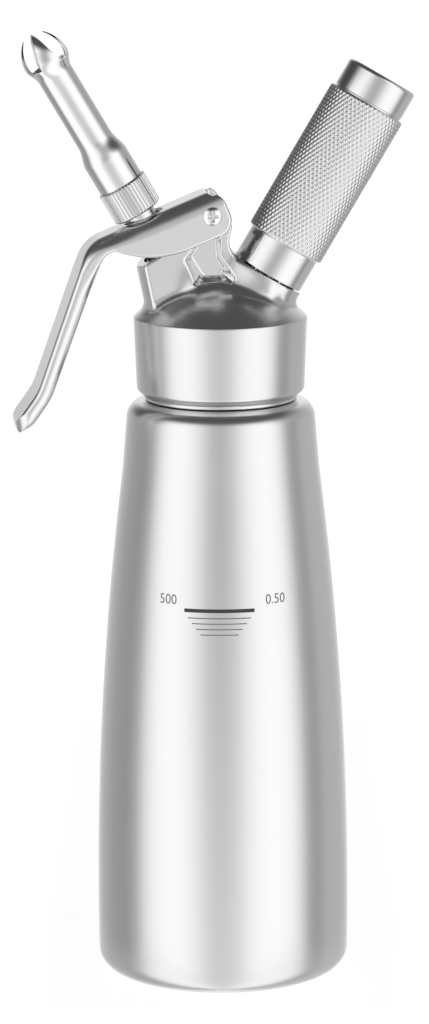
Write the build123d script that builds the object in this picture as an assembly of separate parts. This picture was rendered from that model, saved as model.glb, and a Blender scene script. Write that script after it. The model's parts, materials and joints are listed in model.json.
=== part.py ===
from build123d import *
import os
from math import cos, hypot, pi, radians, sin, sqrt, tan

# Whipped cream dispenser for half a litre, charged by one standard 8 g gas capsule.
# Millimetres. The origin is on the bottle's axis at table level, +Z is up.
# +X is the charger side, -X the nozzle and lever side, -Y the side with the fill mark.

# ---- driving sizes: bottle ----
bottleRadius = 40.0
bellyHeight = 24.0
flankRadius = 1080.0
footRadius = 6.3
ringInnerRadius = 29.0
baseRise = 2.6
baseStep = 2.4
bottleWall = 1.0
shoulderHeight = 179.5
shoulderSlope = 35.0
shoulderRadius = 3.6
neckRadius = 22.7
neckBlendRadius = 2.0
slopeShareRounded = 0.9
mouthRadius = 20.8
lipRise = 26.5
lipRounding = 0.5
threadBandHeight = 13.0
threadBandDrop = 2.6
neckThreadDepth = 1.0

# ---- driving sizes: head ----
gasketThick = 2.5
gasketOverlap = 0.8
collarRimRadius = 27.3
collarFootRadius = 26.4
collarHeight = 23.3
collarChamfer = 1.6
rimRise = 2.3
domeRadius = 40.0
domeWall = 3.2
cavityRadius = 18.5
castingHalf = 7.65
castingFlare = 9.6
castingFlareHeight = 14.0
castingLean = 12.7
castingRounding = 0.9
castingEdgeRadius = 2.4
postSideAngle = 10.0
postBack = (6.3, -3.2)
postWaist = (5.5, -8.6)
postFootAngle = 31.0
pocketMouth = [(-8.8, -14.1), (-4.9, -21.7), (5.7, -21.2), (5.0, -16.6), (2.7, -12.8), (2.9, -6.5),
               (-4.0, -7.5)]
pocketFloor = [(-6.5, -12.8), (-2.3, -19.8), (2.1, -19.9), (3.9, -16.8), (1.8, -13.4), (1.6, -7.5),
               (-3.2, -8.5)]
pocketMouthRounding = 0.8
pocketFloorRounding = 0.5
pocketDepth = 2.0

# ---- driving sizes: nozzle valve, measured along its tilted axis from the nut's lower face ----
valveTilt = 30.4
valveCrossDrop = 8.0
valveReach = 50.9
valveBossDrop = 14.5
valveBossHalf = 7.7
springChamberRadius = 6.3
springChamberDepth = 11.5
stemRadius = 4.5
stemThreadRadius = 5.0
stemThreadLength = 6.0
stemThreadRunout = 3.4
stemBoreRadius = 2.6
guideLength = 8.0
innerBossRadius = 8.4
sealRadius = 6.6
sealThick = 1.8
poppetRadius = 5.8
poppetThick = 2.4
portRadius = 1.5
portAboveSeat = 0.6
collarDrop = 4.6
pushCollarRadius = 7.0
pushCollarThick = 2.2
pushCollarCrown = 0.8
oringSection = 1.8
oringAboveSeat = 5.2
springWireRadius = 0.45
springTurns = 6.0
springCoilRadius = 5.4

# ---- driving sizes: nozzle and its nut ----
nutRadius = 8.0
nutHeight = 10.5
nutRibCount = 44
nutRibDepth = 0.35
nutFootChamfer = 0.5
nozzleGasketThick = 1.2
nozzleBaseRadius = 7.3
nozzleSkirtRadius = 6.7
nozzleBaseTop = 19.5
nozzleTubeRadius = 5.8
nozzleTaperTop = 26.5
nozzleBulbFoot = 50.2
nozzleBulbRadius = 7.47
nozzleBulbHeight = 55.5
nozzleTipRadius = 2.95
nozzleLength = 64.3
nozzleWall = 0.9
nozzleTipWall = 0.3
slotFloor = 53.8
slotHalfFoot = 2.1
slotHalfMiddle = 3.15
slotHalfTip = 2.06
slotPairCount = 2

# ---- driving sizes: lever, seen from the side, measured from its pivot ----
pivotAcross = -3.5
pivotRise = 35.2
leverSlope = 22.0
leverRise = 7.0
leverUnder = 6.9
leverNose = 5.4
leverNoseRadius = 5.2
leverHalfWidth = 10.0
leverPlate = 2.2
leverCheek = 2.0
handleDepth = 4.0
handleEnd = 5.5
plateEnd = 1.8
bendAlong = -37.4
bendRadius = 22.0
flareCorner = (-53.2, -54.1)
flareRadius = 26.0
toeCorner = (-61.6, -63.1)
toeRadius = 1.9
cheekStart = (-6.6, -10.2)
cheekLowest = (-17.0, -12.6)
cheekHeel = (-29.3, -10.4)
cheekBlend = (-33.6, -12.0)
cheekFoot = (-37.1, -18.2)
leverEdgeRadius = 2.5
stemSlotLength = 12.6
stemSlotShift = 0.6
stemSlotGap = 0.35
postRadius = 4.5

# ---- driving sizes: pivot hardware ----
pinRadius = 2.0
pinHeadRadius = 3.2
pinHeadThick = 1.2
pinOverhang = 0.1
screwHeadRadius = 2.9
screwHeadThick = 1.3
screwRadius = 1.25
screwLength = 8.0
recessHalfWidth = 0.35
recessReach = 1.5
recessDepth = 0.8

# ---- driving sizes: charger side, measured along its tilted axis from the holder's lower rim ----
chargerTilt = 30.9
chargerCrossDrop = 9.4
chargerReach = 29.25
holderGap = 0.45
holderBandRadius = 11.7
holderBandHeight = 10.7
gripRadius = 12.75
gripTop = 61.6
holderLength = 71.4
holderRimRadius = 1.3
gripChamfer = 0.5
spigotRadius = 10.0
spigotLength = 9.0
spigotRelief = 0.6
capsuleBoreRadius = 5.5
chargerBossRadius = 11.4
chargerFlangeRadius = 12.2
chargerFlangeThick = 1.5
capsuleRadius = 9.0
capsuleLength = 65.5
capsuleNeckRadius = 4.4
capsuleNeckLength = 6.8
capsuleShoulderLength = 9.5
capsuleEndRadius = 8.0
capsuleWall = 1.3
capsuleNeckBore = 3.1
capsuleDrop = 2.7
capThick = 0.4
pinShaftRadius = 1.0
pinReach = 4.4
pinTipLength = 1.2
pinBaseRadius = 1.9
pinBaseThick = 1.5
pinBoreRadius = 0.35
inletRadius = 4.9
inletTop = 1.0
inletBottom = -11.5
inletBossRadius = 7.0
gasChannelRadius = 0.9
gasChannelFloor = -4.0
checkChamberRadius = 2.1
ballRadius = 1.75
ballSeatGap = 0.05
inletCapThick = 1.0
inletCapPlug = 1.5
inletPortRadius = 0.4
inletPortCount = 4
checkWireRadius = 0.18
checkCoilRadius = 1.2
checkTurns = 4.0
endMarkRadius = 0.8
endMarkDepth = 0.5

# ---- fits: radial clearances between pieces that move on each other ----
threadGap = 0.07
guideGap = 0.08
oringGap = 0.03
pivotGap = 0.05
capsuleGap = 0.35
capGap = 0.06
seatGap = 0.3

# ---- places worked out from the sizes above ----
lipHeight = shoulderHeight + lipRise
ceiling = lipHeight + gasketThick
rimHeight = ceiling + rimRise
collarFoot = rimHeight - collarHeight
collarBore = neckRadius + neckThreadDepth + threadGap
domeCentre = rimHeight - sqrt(domeRadius ** 2 - collarRimRadius ** 2)
pivot = (pivotAcross, ceiling + pivotRise)
valveOut = Vector(-sin(radians(valveTilt)), 0, cos(radians(valveTilt)))
chargerOut = Vector(sin(radians(chargerTilt)), 0, cos(radians(chargerTilt)))
valveFrame = Plane(
    origin=Vector(0, 0, ceiling - valveCrossDrop) + valveOut * valveReach,
    x_dir=(cos(radians(valveTilt)), 0, sin(radians(valveTilt))),
    z_dir=valveOut,
)
chargerFrame = Plane(
    origin=Vector(0, 0, ceiling - chargerCrossDrop) + chargerOut * chargerReach,
    x_dir=(cos(radians(chargerTilt)), 0, -sin(radians(chargerTilt))),
    z_dir=chargerOut,
)
chamberFloor = -valveBossDrop - springChamberDepth
valveSeat = chamberFloor - guideLength
collarTop = -collarDrop
collarUnder = collarTop - pushCollarCrown - pushCollarThick
stemTop = stemThreadLength
oringCentre = stemRadius + guideGap - oringGap - oringSection / 2
pivotPlace = Pos(pivot[0], 0, pivot[1]) * Rot(90, 0, 0)
tiny = 0.01
checkFloor = inletBottom + inletCapPlug
holderInnerEnd = capsuleDrop + capsuleLength + capGap


# ---- small helpers ----
def turned(*outline):
    """A solid turned about Z from a closed outline of (radius, height) edges."""
    return revolve(Plane.XZ * make_face(list(outline)), axis=Axis.Z)


def turnedPoints(*points):
    return turned(Polyline(*points, close=True))


def rod(radius, low, high):
    return Pos(0, 0, low) * extrude(Circle(radius), high - low)


def ring(outer, inner, low, high):
    return rod(outer, low, high) - rod(inner, low, high)


def sideCut(face, half):
    """An X-Z outline made into a slab that reaches the same distance to both sides of Y = 0."""
    return extrude(Plane.XZ * face, half, both=True)


def roundedAt(face, spots):
    """Rounds the corner of a flat outline that lies nearest to each given spot."""
    for x, y, radius in spots:
        corner = min(face.vertices(), key=lambda v: hypot(v.X - x, v.Y - y))
        face = fillet(corner, radius)
    return face


def coil(coilRadius, wireRadius, low, high, turns):
    """A round-wire compression spring between two heights on the Z axis."""
    rise = high - low - 2 * wireRadius
    path = Helix(pitch=rise / turns, height=rise, radius=coilRadius)
    section = Plane(origin=path @ 0, z_dir=path % 0) * Circle(wireRadius)
    return Pos(0, 0, low + wireRadius) * sweep(section, path=path, is_frenet=True)


def parallel(points, distance):
    """The corners of the path that runs beside the given one, on its right-hand side."""
    shifted = []
    for i, here in enumerate(points):
        before = Vector(*here) - Vector(*points[i - 1]) if i > 0 else None
        after = Vector(*points[i + 1]) - Vector(*here) if i + 1 < len(points) else None
        ways = [way.normalized() for way in (before, after) if way]
        sides = [Vector(way.Y, -way.X) for way in ways]
        middle = sum(sides, Vector(0, 0)).normalized()
        corner = Vector(*here) + middle * (distance / middle.dot(sides[0]))
        shifted.append((corner.X, corner.Y))
    return shifted


def uprightArc(start, end):
    """The arc that leaves the start straight up or down and bends to the end."""
    across, rise = end[0] - start[0], end[1] - start[1]
    radius = (across ** 2 + rise ** 2) / (2 * across)
    centre = Vector(start[0] + radius, start[1])
    halfway = (Vector(*start) - centre + Vector(*end) - centre).normalized()
    middle = centre + halfway * abs(radius)
    return ThreePointArc(start, (middle.X, middle.Y), end)


def fromPivot(point):
    return (pivot[0] + point[0], pivot[1] + point[1])


def alongLever(along, rise):
    """A point given along and square to the lever's sloping top, from the pivot."""
    slope = radians(leverSlope)
    return fromPivot((along * cos(slope) - rise * sin(slope), along * sin(slope) + rise * cos(slope)))


# ---- bottle ----
def bottleFace(inset, neck, base, top):
    """Half the bottle's section: the outside with no inset, the cavity inset by the wall."""
    flank = flankRadius - inset
    centre = bottleRadius - flankRadius
    corner = max(footRadius - inset, inset)
    slope = radians(shoulderSlope)
    shoulder = shoulderHeight - inset * tan((pi / 2 - slope) / 2)

    def flankAt(height):
        return centre + sqrt(flank ** 2 - (height - bellyHeight) ** 2)

    neckFoot = shoulder + (flankAt(shoulder) - neck) * tan(slope)
    floor = base + inset
    ringEdge = ringInnerRadius + inset * tan(pi / 8)
    slopeRun = (flankAt(shoulder) - neck) / cos(slope)
    rounded = (shoulderRadius + neckBlendRadius) * tan((pi / 2 - slope) / 2)
    share = min(1, slopeShareRounded * slopeRun / rounded)
    outline = [
        Polyline((0, top), (0, floor + baseRise), (ringEdge - baseStep, floor + baseRise),
                 (ringEdge, floor), (flankAt(floor), floor)),
        ThreePointArc((flankAt(floor), floor), (flankAt(bellyHeight), bellyHeight),
                      (flankAt(shoulder), shoulder)),
        Polyline((flankAt(shoulder), shoulder), (neck, neckFoot), (neck, top), (0, top)),
    ]
    return roundedAt(make_face(outline), [
        (flankAt(floor), floor, corner),
        (flankAt(shoulder), shoulder, (shoulderRadius - inset) * share),
        (neck, neckFoot, (neckBlendRadius + inset) * share),
    ])


def bottle():
    threadTop = lipHeight - threadBandDrop
    threadFoot = threadTop - threadBandHeight
    crest = neckRadius + neckThreadDepth
    outside = revolve(Plane.XZ * bottleFace(0, neckRadius, 0, lipHeight), axis=Axis.Z)
    cavity = revolve(Plane.XZ * bottleFace(bottleWall, mouthRadius, 0, lipHeight + bottleWall), axis=Axis.Z)
    band = turnedPoints(
        (mouthRadius, threadFoot), (neckRadius, threadFoot), (crest, threadFoot + neckThreadDepth),
        (crest, threadTop - neckThreadDepth), (neckRadius, threadTop), (mouthRadius, threadTop),
    )
    shell = outside + band - cavity
    lip = shell.edges().filter_by(GeomType.CIRCLE).group_by(Axis.Z)[-1]
    return fillet(lip, lipRounding)


# ---- head ----
def headGasket():
    return ring(collarBore - seatGap, mouthRadius - gasketOverlap, lipHeight, ceiling)


def castingFront(height):
    """How far out the leaning front of the casting lies at a height."""
    corner = valveFrame.from_local_coords(Vector(-valveBossHalf, 0, -valveBossDrop))
    return corner.X + (corner.Z - height) * tan(radians(castingLean))


def castingOutline(cornerRadius):
    """Side view of the valve boss and the lever post, which are one casting with the dome."""
    foot = ceiling + rimRise / 4
    left = valveFrame.from_local_coords(Vector(-valveBossHalf, 0, -valveBossDrop))
    right = valveFrame.from_local_coords(Vector(valveBossHalf, 0, -valveBossDrop))
    leftFoot = castingFront(foot)
    shoulder = chargerFrame.from_local_coords(Vector(-chargerFlangeRadius, 0, -2 * holderGap))
    inside = chargerFrame.from_local_coords(Vector(0, 0, -chargerFlangeThick - 2 * holderGap))
    sideAngle, footAngle = radians(postSideAngle), radians(postFootAngle)
    away = Vector(right.X - pivot[0], right.Z - pivot[1])
    reach = away.length
    square = away.rotate(Axis.Z, -90) * (postRadius * sqrt(reach ** 2 - postRadius ** 2) / reach ** 2)
    tangent = away * (postRadius / reach) ** 2 + square
    onTop = fromPivot((tangent.X, tangent.Y))
    crown = fromPivot((0, postRadius))
    side = fromPivot((postRadius * cos(sideAngle), postRadius * sin(sideAngle)))
    outline = [
        Polyline((leftFoot, foot), (left.X, left.Z), (right.X, right.Z), onTop),
        ThreePointArc(onTop, crown, side),
        Spline(side, fromPivot(postBack), fromPivot(postWaist), (shoulder.X, shoulder.Z),
               tangents=[(sin(sideAngle), -cos(sideAngle)), (cos(footAngle), -sin(footAngle))]),
        Polyline((shoulder.X, shoulder.Z), (inside.X, inside.Z), (inside.X, foot), (leftFoot, foot)),
    ]
    face = make_face(outline)
    if cornerRadius:
        face = roundedAt(face, [(left.X, left.Z, cornerRadius), (right.X, right.Z, cornerRadius)])
    return face


def castingSection():
    """End view of the same casting: straight sides that flare where they run into the dome."""
    foot = ceiling
    flareTop = rimHeight + castingFlareHeight
    top = pivot[1] + leverRise

    def side(sign):
        return uprightArc((sign * castingHalf, flareTop), (sign * castingFlare, rimHeight))

    outline = [
        side(1),
        Polyline((castingFlare, rimHeight), (castingFlare, foot), (-castingFlare, foot),
                 (-castingFlare, rimHeight)),
        side(-1),
        Polyline((-castingHalf, flareTop), (-castingHalf, top), (castingHalf, top),
                 (castingHalf, flareTop)),
    ]
    return make_face(outline)


def pocket():
    """The recess that lightens the near side of the post, drafted most on its left and lower walls."""
    sections = []
    for depth, corners, rounding in (
        (0, pocketMouth, pocketMouthRounding),
        (pocketDepth, pocketFloor, pocketFloorRounding),
    ):
        spots = [fromPivot(corner) for corner in corners]
        outline = roundedAt(make_face(Polyline(*spots, close=True)), [(*spot, rounding) for spot in spots])
        sections.append(Plane(origin=(0, depth - castingHalf, 0), x_dir=(1, 0, 0), z_dir=(0, -1, 0)) * outline)
    return loft(sections, ruled=True)


def frontEdges(casting):
    """The edges where the casting's leaning front meets its two sides."""
    return [edge for edge in casting.edges()
            if all(abs(spot.X - castingFront(spot.Z)) < tiny and abs(spot.Y) > castingHalf - tiny
                   for spot in (edge @ 0, edge @ 0.5, edge @ 1))]


def headBody():
    rimCorner = (collarRimRadius, rimHeight)
    bore = (collarBore, collarFoot)
    shell = turned(
        Polyline((0, ceiling), (collarBore, ceiling), bore,
                 (collarFootRadius - collarChamfer, collarFoot),
                 (collarFootRadius, collarFoot + collarChamfer), rimCorner),
        RadiusArc(rimCorner, (0, domeCentre + domeRadius), -domeRadius),
        Line((0, domeCentre + domeRadius), (0, ceiling)),
    )
    casting = sideCut(castingOutline(0), 2 * castingFlare)
    casting &= extrude(Plane.YZ * castingSection(), 3 * collarRimRadius, both=True)
    casting = fillet(frontEdges(casting), castingEdgeRadius)
    casting &= sideCut(castingOutline(castingRounding), 2 * castingFlare)
    cavity = rod(cavityRadius, ceiling - domeWall, ceiling + domeRadius)
    cavity &= Pos(0, 0, domeCentre) * Sphere(domeRadius - domeWall)
    valveBoss = valveFrame * rod(innerBossRadius, valveSeat, chamberFloor + guideLength / 2)
    valveBoss &= Pos(0, 0, domeCentre) * Sphere(domeRadius - domeWall / 2)
    chargerBoss = chargerFrame * turnedPoints(
        (0, -chargerReach / 2), (chargerBossRadius, -chargerReach / 2),
        (chargerBossRadius, -holderGap - 2 * chargerFlangeThick),
        (chargerFlangeRadius, -holderGap - chargerFlangeThick),
        (chargerFlangeRadius, -holderGap), (0, -holderGap),
    )
    spigot = chargerFrame * turnedPoints(
        (0, -holderGap), (spigotRadius - spigotRelief, -holderGap),
        (spigotRadius - spigotRelief, spigotRelief), (spigotRadius, 2 * spigotRelief),
        (spigotRadius, spigotLength - spigotRelief),
        (spigotRadius - spigotRelief, spigotLength), (0, spigotLength),
    )
    inletBoss = chargerFrame * rod(inletBossRadius, inletBottom, -holderGap)
    body = shell + casting + chargerBoss - cavity
    body -= rod(collarBore, collarFoot, ceiling)
    body += spigot + valveBoss + inletBoss
    for side in (0, 1):
        body -= mirror(pocket(), Plane.XZ) if side else pocket()
    body -= valveFrame * rod(springChamberRadius, chamberFloor, 0)
    body -= valveFrame * rod(stemRadius + guideGap, valveSeat - domeRadius, chamberFloor)
    body -= valveFrame * rod(sealRadius + seatGap, valveSeat - sealThick - poppetThick, valveSeat)
    body -= chargerFrame * rod(capsuleBoreRadius, inletTop, spigotLength)
    body -= chargerFrame * rod(inletRadius, inletBottom - domeWall, inletTop)
    body -= pivotPlace * rod(pinRadius, -leverHalfWidth, leverHalfWidth)
    return body


# ---- nozzle valve ----
def valveStem():
    bore = rod(stemBoreRadius, valveSeat, stemTop)
    body = rod(stemRadius, valveSeat - sealThick, -stemThreadRunout)
    body += rod(stemThreadRadius, -stemThreadRunout, stemTop)
    body += rod(poppetRadius, valveSeat - sealThick - poppetThick, valveSeat - sealThick)
    groove = Pos(0, 0, valveSeat + oringAboveSeat) * ring(
        2 * stemRadius, oringCentre - oringSection / 2, -oringSection / 2, oringSection / 2)
    port = Pos(0, 0, valveSeat + portRadius + portAboveSeat)
    body = body - bore - groove
    for turn in (0, 90):
        body -= port * Rot(0, 0, turn) * Rot(0, 90, 0) * rod(portRadius, -2 * stemRadius, 2 * stemRadius)
    return valveFrame * body


def stemOring():
    return valveFrame * (Pos(0, 0, valveSeat + oringAboveSeat) * Torus(oringCentre, oringSection / 2))


def valveSealRing():
    return valveFrame * ring(sealRadius, stemRadius, valveSeat - sealThick, valveSeat)


def pushCollar():
    crownEdge = (pushCollarRadius, collarTop - pushCollarCrown)
    return valveFrame * turnedPoints(
        (stemRadius, collarTop), (stemRadius + pushCollarCrown, collarTop), crownEdge,
        (pushCollarRadius, collarUnder), (stemRadius, collarUnder),
    )


def valveSpring():
    return valveFrame * coil(springCoilRadius, springWireRadius, chamberFloor, collarUnder, springTurns)


# ---- nozzle ----
def nozzleNut():
    """A ribbed union nut: the stem's thread below, the pressed-in nozzle skirt above."""
    points = []
    for i in range(2 * nutRibCount):
        angle = pi * i / nutRibCount
        radius = nutRadius - (i % 2) * nutRibDepth
        points.append((radius * cos(angle), radius * sin(angle)))
    body = extrude(make_face(Polyline(*points, close=True)), nutHeight)
    body &= turnedPoints(
        (0, 0), (nutRadius - nutRibDepth - nutFootChamfer, 0), (nutRadius, nutRibDepth + nutFootChamfer),
        (nutRadius, nutHeight - nutRibDepth), (nutRadius - nutRibDepth, nutHeight), (0, nutHeight),
    )
    body -= rod(stemThreadRadius + threadGap, 0, stemThreadLength)
    body -= rod(nozzleSkirtRadius, stemThreadLength, nutHeight)
    return valveFrame * body


def nozzleGasket():
    return valveFrame * ring(nozzleSkirtRadius - seatGap, stemBoreRadius, stemThreadLength,
                             stemThreadLength + nozzleGasketThick)


def nozzle():
    """A drawn tube with a tulip mouth of four pointed prongs."""
    skirt = stemThreadLength + nozzleGasketThick
    bulb = nozzleBulbRadius
    outer = [
        Polyline((nozzleSkirtRadius, skirt), (nozzleSkirtRadius, nutHeight), (nozzleBaseRadius, nutHeight),
                 (nozzleBaseRadius, nozzleBaseTop)),
        Spline((nozzleBaseRadius, nozzleBaseTop), (nozzleTubeRadius, nozzleTaperTop),
               tangents=[(0, 1), (0, 1)]),
        Line((nozzleTubeRadius, nozzleTaperTop), (nozzleTubeRadius, nozzleBulbFoot)),
        Spline((nozzleTubeRadius, nozzleBulbFoot), (bulb, nozzleBulbHeight), tangents=[(0, 1), (0, 1)]),
        uprightArc((bulb, nozzleBulbHeight), (nozzleTipRadius, nozzleLength)),
    ]
    wall = nozzleWall
    inner = [
        Line((nozzleTipRadius, nozzleLength), (nozzleTipRadius - nozzleTipWall, nozzleLength)),
        uprightArc((bulb - wall, nozzleBulbHeight), (nozzleTipRadius - nozzleTipWall, nozzleLength)),
        Spline((nozzleTubeRadius - wall, nozzleBulbFoot), (bulb - wall, nozzleBulbHeight),
               tangents=[(0, 1), (0, 1)]),
        Line((nozzleTubeRadius - wall, nozzleTaperTop), (nozzleTubeRadius - wall, nozzleBulbFoot)),
        Spline((nozzleBaseRadius - wall, nozzleBaseTop), (nozzleTubeRadius - wall, nozzleTaperTop),
               tangents=[(0, 1), (0, 1)]),
        Polyline((nozzleBaseRadius - wall, nozzleBaseTop), (nozzleBaseRadius - wall, nutHeight + wall),
                 (nozzleSkirtRadius - wall, nutHeight), (nozzleSkirtRadius - wall, skirt),
                 (nozzleSkirtRadius, skirt)),
    ]
    body = turned(*outer, *inner)
    middle = (slotFloor + nozzleLength) / 2
    top = nozzleLength + nozzleWall
    slot = make_face([
        Line((-slotHalfFoot, slotFloor), (slotHalfFoot, slotFloor)),
        ThreePointArc((slotHalfFoot, slotFloor), (slotHalfMiddle, middle), (slotHalfTip, nozzleLength)),
        Polyline((slotHalfTip, nozzleLength), (slotHalfTip, top), (-slotHalfTip, top),
                 (-slotHalfTip, nozzleLength)),
        ThreePointArc((-slotHalfTip, nozzleLength), (-slotHalfMiddle, middle), (-slotHalfFoot, slotFloor)),
    ])
    for i in range(slotPairCount):
        turn = 180 / slotPairCount * (i + 0.5)
        body -= Rot(0, 0, turn) * sideCut(slot, 2 * nozzleBulbRadius)
    return valveFrame * body


# ---- lever ----
def leverPath():
    """Corners of the lever's top line, from beside the post to the tip of the handle."""
    return [alongLever(plateEnd, leverRise), alongLever(bendAlong, leverRise), fromPivot(flareCorner),
            fromPivot(toeCorner)]


def leverOutline(endRadius):
    """Side view of the bar that runs down the handle, joined to the deep cheeks at the pivot."""
    top = leverPath()
    under = parallel(top, -handleDepth)
    inBar = leverRise - (leverEdgeRadius + handleDepth) / 2
    noseStart = leverNose - leverNoseRadius - leverPlate
    noseUnder = alongLever(leverNose, -leverUnder)
    noseTop = alongLever(leverNose, leverRise)
    start, heel, foot = fromPivot(cheekStart), fromPivot(cheekHeel), fromPivot(cheekFoot)
    strip = make_face([
        FilletPolyline(*top, radius=[bendRadius, flareRadius]),
        Line(top[-1], under[-1]),
        FilletPolyline(*under, radius=[bendRadius - handleDepth, flareRadius + handleDepth]),
        Line(under[0], top[0]),
    ])
    cheeks = make_face([
        Polyline(start, noseUnder, noseTop, alongLever(noseStart, leverRise),
                 alongLever(noseStart, inBar), under[1], foot),
        ThreePointArc(foot, fromPivot(cheekBlend), heel),
        ThreePointArc(heel, fromPivot(cheekLowest), start),
    ])
    cheeks = roundedAt(cheeks, [(*noseUnder, leverNoseRadius), (*noseTop, leverNoseRadius)])
    if endRadius:
        strip = roundedAt(strip, [(*top[-1], endRadius), (*under[-1], endRadius)])
    return strip + cheeks


def underLever():
    """Side view of the space between the cheeks and inside the channel of the handle."""
    skin = parallel(leverPath(), -leverPlate)
    reach = Vector(*skin[3]) - Vector(*skin[2])
    end = Vector(*skin[2]) + reach * (1 - handleEnd / reach.length)
    clear = leverRise + 2 * leverNose
    return make_face([
        FilletPolyline(*skin[:3], (end.X, end.Y), radius=[bendRadius - leverPlate, flareRadius + leverPlate]),
        Polyline((end.X, end.Y), (pivot[0] + clear, end.Y), alongLever(2 * clear, 0),
                 alongLever(clear, clear), alongLever(plateEnd, clear), skin[0]),
    ])


def topEdges(body):
    """The long edges that follow the lever's top, in its two side faces."""
    path = Plane.XZ * FilletPolyline(*leverPath(), radius=[bendRadius, flareRadius])
    found = []
    for edge in body.edges():
        spots = [edge @ share for share in (0.2, 0.5, 0.8)]
        outside = all(abs(abs(spot.Y) - leverHalfWidth) < tiny for spot in spots)
        if outside and all(path.distance_to(Vector(spot.X, 0, spot.Z)) < tiny for spot in spots):
            found.append(edge)
    return found


def lever():
    body = sideCut(leverOutline(0), leverHalfWidth)
    body = fillet(topEdges(body), leverEdgeRadius)
    body &= sideCut(leverOutline(toeRadius), leverHalfWidth)
    body -= sideCut(underLever(), leverHalfWidth - leverCheek)
    slotWidth = 2 * (stemThreadRadius + stemSlotGap)
    slot = extrude(SlotOverall(stemSlotLength, slotWidth), leverRise, both=True)
    body -= valveFrame * Pos(stemSlotShift, 0, 0) * slot
    body -= pivotPlace * rod(pinRadius + pivotGap, -2 * leverHalfWidth, 2 * leverHalfWidth)
    return body


# ---- pivot: a headed barrel through the post, closed by a cross-head screw on the near side ----
def pivotBarrel():
    near = leverHalfWidth + pinOverhang
    body = rod(pinRadius, -near, near) + rod(pinHeadRadius, -near - pinHeadThick, -near)
    body -= rod(screwRadius, near - screwLength, near)
    return pivotPlace * body


def pivotScrew():
    near = leverHalfWidth + pinOverhang
    rim = (screwHeadRadius, near + screwHeadThick / 4)
    top = (0, near + screwHeadThick)
    radius = (screwHeadRadius ** 2 + (top[1] - rim[1]) ** 2) / (2 * (top[1] - rim[1]))
    body = turned(
        Polyline(top, (0, near - screwLength), (screwRadius, near - screwLength), (screwRadius, near),
                 (screwHeadRadius, near), rim),
        RadiusArc(rim, top, -radius),
    )
    cross = Rectangle(2 * recessReach, 2 * recessHalfWidth)
    cross += Rectangle(2 * recessHalfWidth, 2 * recessReach)
    body -= Pos(0, 0, top[1] - recessDepth) * extrude(cross, screwHeadThick)
    return pivotPlace * body


# ---- charger holder and capsule ----
def chargerHolder():
    """A closed sleeve that screws over the spigot and drives the capsule on to the pin."""
    band, grip = holderBandRadius, gripRadius
    threadBore = spigotRadius + threadGap
    bore = capsuleRadius + capsuleGap
    rimFoot = (band, holderLength - holderRimRadius)
    rimTop = (band - holderRimRadius, holderLength)
    body = turned(
        Polyline((threadBore, 0), (band, 0), (band, holderBandHeight), (grip - gripChamfer, holderBandHeight),
                 (grip, holderBandHeight + gripChamfer), (grip, gripTop - gripChamfer),
                 (grip - gripChamfer, gripTop), (band, gripTop), rimFoot),
        RadiusArc(rimFoot, rimTop, -holderRimRadius),
        Polyline(rimTop, (endMarkRadius, holderLength), (0, holderLength - endMarkDepth),
                 (0, holderInnerEnd), (bore, holderInnerEnd), (bore, spigotLength + 2 * spigotRelief),
                 (threadBore, spigotLength + spigotRelief), (threadBore, 0)),
    )
    return chargerFrame * body


def capsuleFace(inset):
    """Half the capsule's section: neck, tapering shoulder, barrel and domed end."""
    foot = capsuleDrop
    neckTop = foot + capsuleNeckLength
    shoulder = neckTop + capsuleShoulderLength
    barrel = capsuleRadius - inset
    neck = capsuleNeckBore if inset else capsuleNeckRadius
    end = foot + capsuleLength - inset
    outline = Polyline((0, foot), (neck, foot), (neck, neckTop), (barrel, shoulder), (barrel, end),
                       (0, end), close=True)
    return roundedAt(make_face(outline), [
        (neck, neckTop, capsuleNeckRadius / 2),
        (barrel, shoulder, capsuleNeckRadius),
        (barrel, end, capsuleEndRadius - inset),
    ])


def chargerCapsule():
    outside = revolve(Plane.XZ * capsuleFace(0), axis=Axis.Z)
    inside = revolve(Plane.XZ * capsuleFace(capsuleWall), axis=Axis.Z)
    return chargerFrame * (outside - inside)


def chargerCap():
    """The pierced steel disc in the capsule's neck."""
    return chargerFrame * ring(capsuleNeckBore, pinShaftRadius + capGap, capsuleDrop, capsuleDrop + capThick)


def chargerSeal():
    return chargerFrame * ring(capsuleBoreRadius, pinBaseRadius, inletTop, capsuleDrop)


# ---- gas inlet: piercing pin and ball check valve ----
def inletValveBody():
    seatEdge = gasChannelFloor - (checkChamberRadius - gasChannelRadius)
    base = inletTop - pinBaseThick
    return chargerFrame * turnedPoints(
        (pinBaseRadius, inletTop), (inletRadius, inletTop), (inletRadius, inletBottom),
        (checkChamberRadius, inletBottom), (checkChamberRadius, seatEdge),
        (gasChannelRadius, gasChannelFloor), (gasChannelRadius, base), (pinBaseRadius, base),
    )


def piercingPin():
    top = pinReach
    body = turnedPoints(
        (0, inletTop - pinBaseThick), (pinBaseRadius, inletTop - pinBaseThick), (pinBaseRadius, inletTop),
        (pinShaftRadius, inletTop), (pinShaftRadius, top - pinTipLength), (pinBoreRadius, top), (0, top),
    )
    body -= rod(pinBoreRadius, inletTop - 2 * pinBaseThick, top + pinBaseThick)
    return chargerFrame * body


def ballCentre():
    """The ball rests on the 45 degree seat, less a hair of clearance."""
    return gasChannelFloor + gasChannelRadius - (ballRadius + ballSeatGap) * sqrt(2)


def checkBall():
    return chargerFrame * Pos(0, 0, ballCentre()) * Sphere(ballRadius)


def checkSpring():
    top = ballCentre() - sqrt(ballRadius ** 2 - checkCoilRadius ** 2) - ballSeatGap
    return chargerFrame * coil(checkCoilRadius, checkWireRadius, checkFloor, top, checkTurns)


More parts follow.
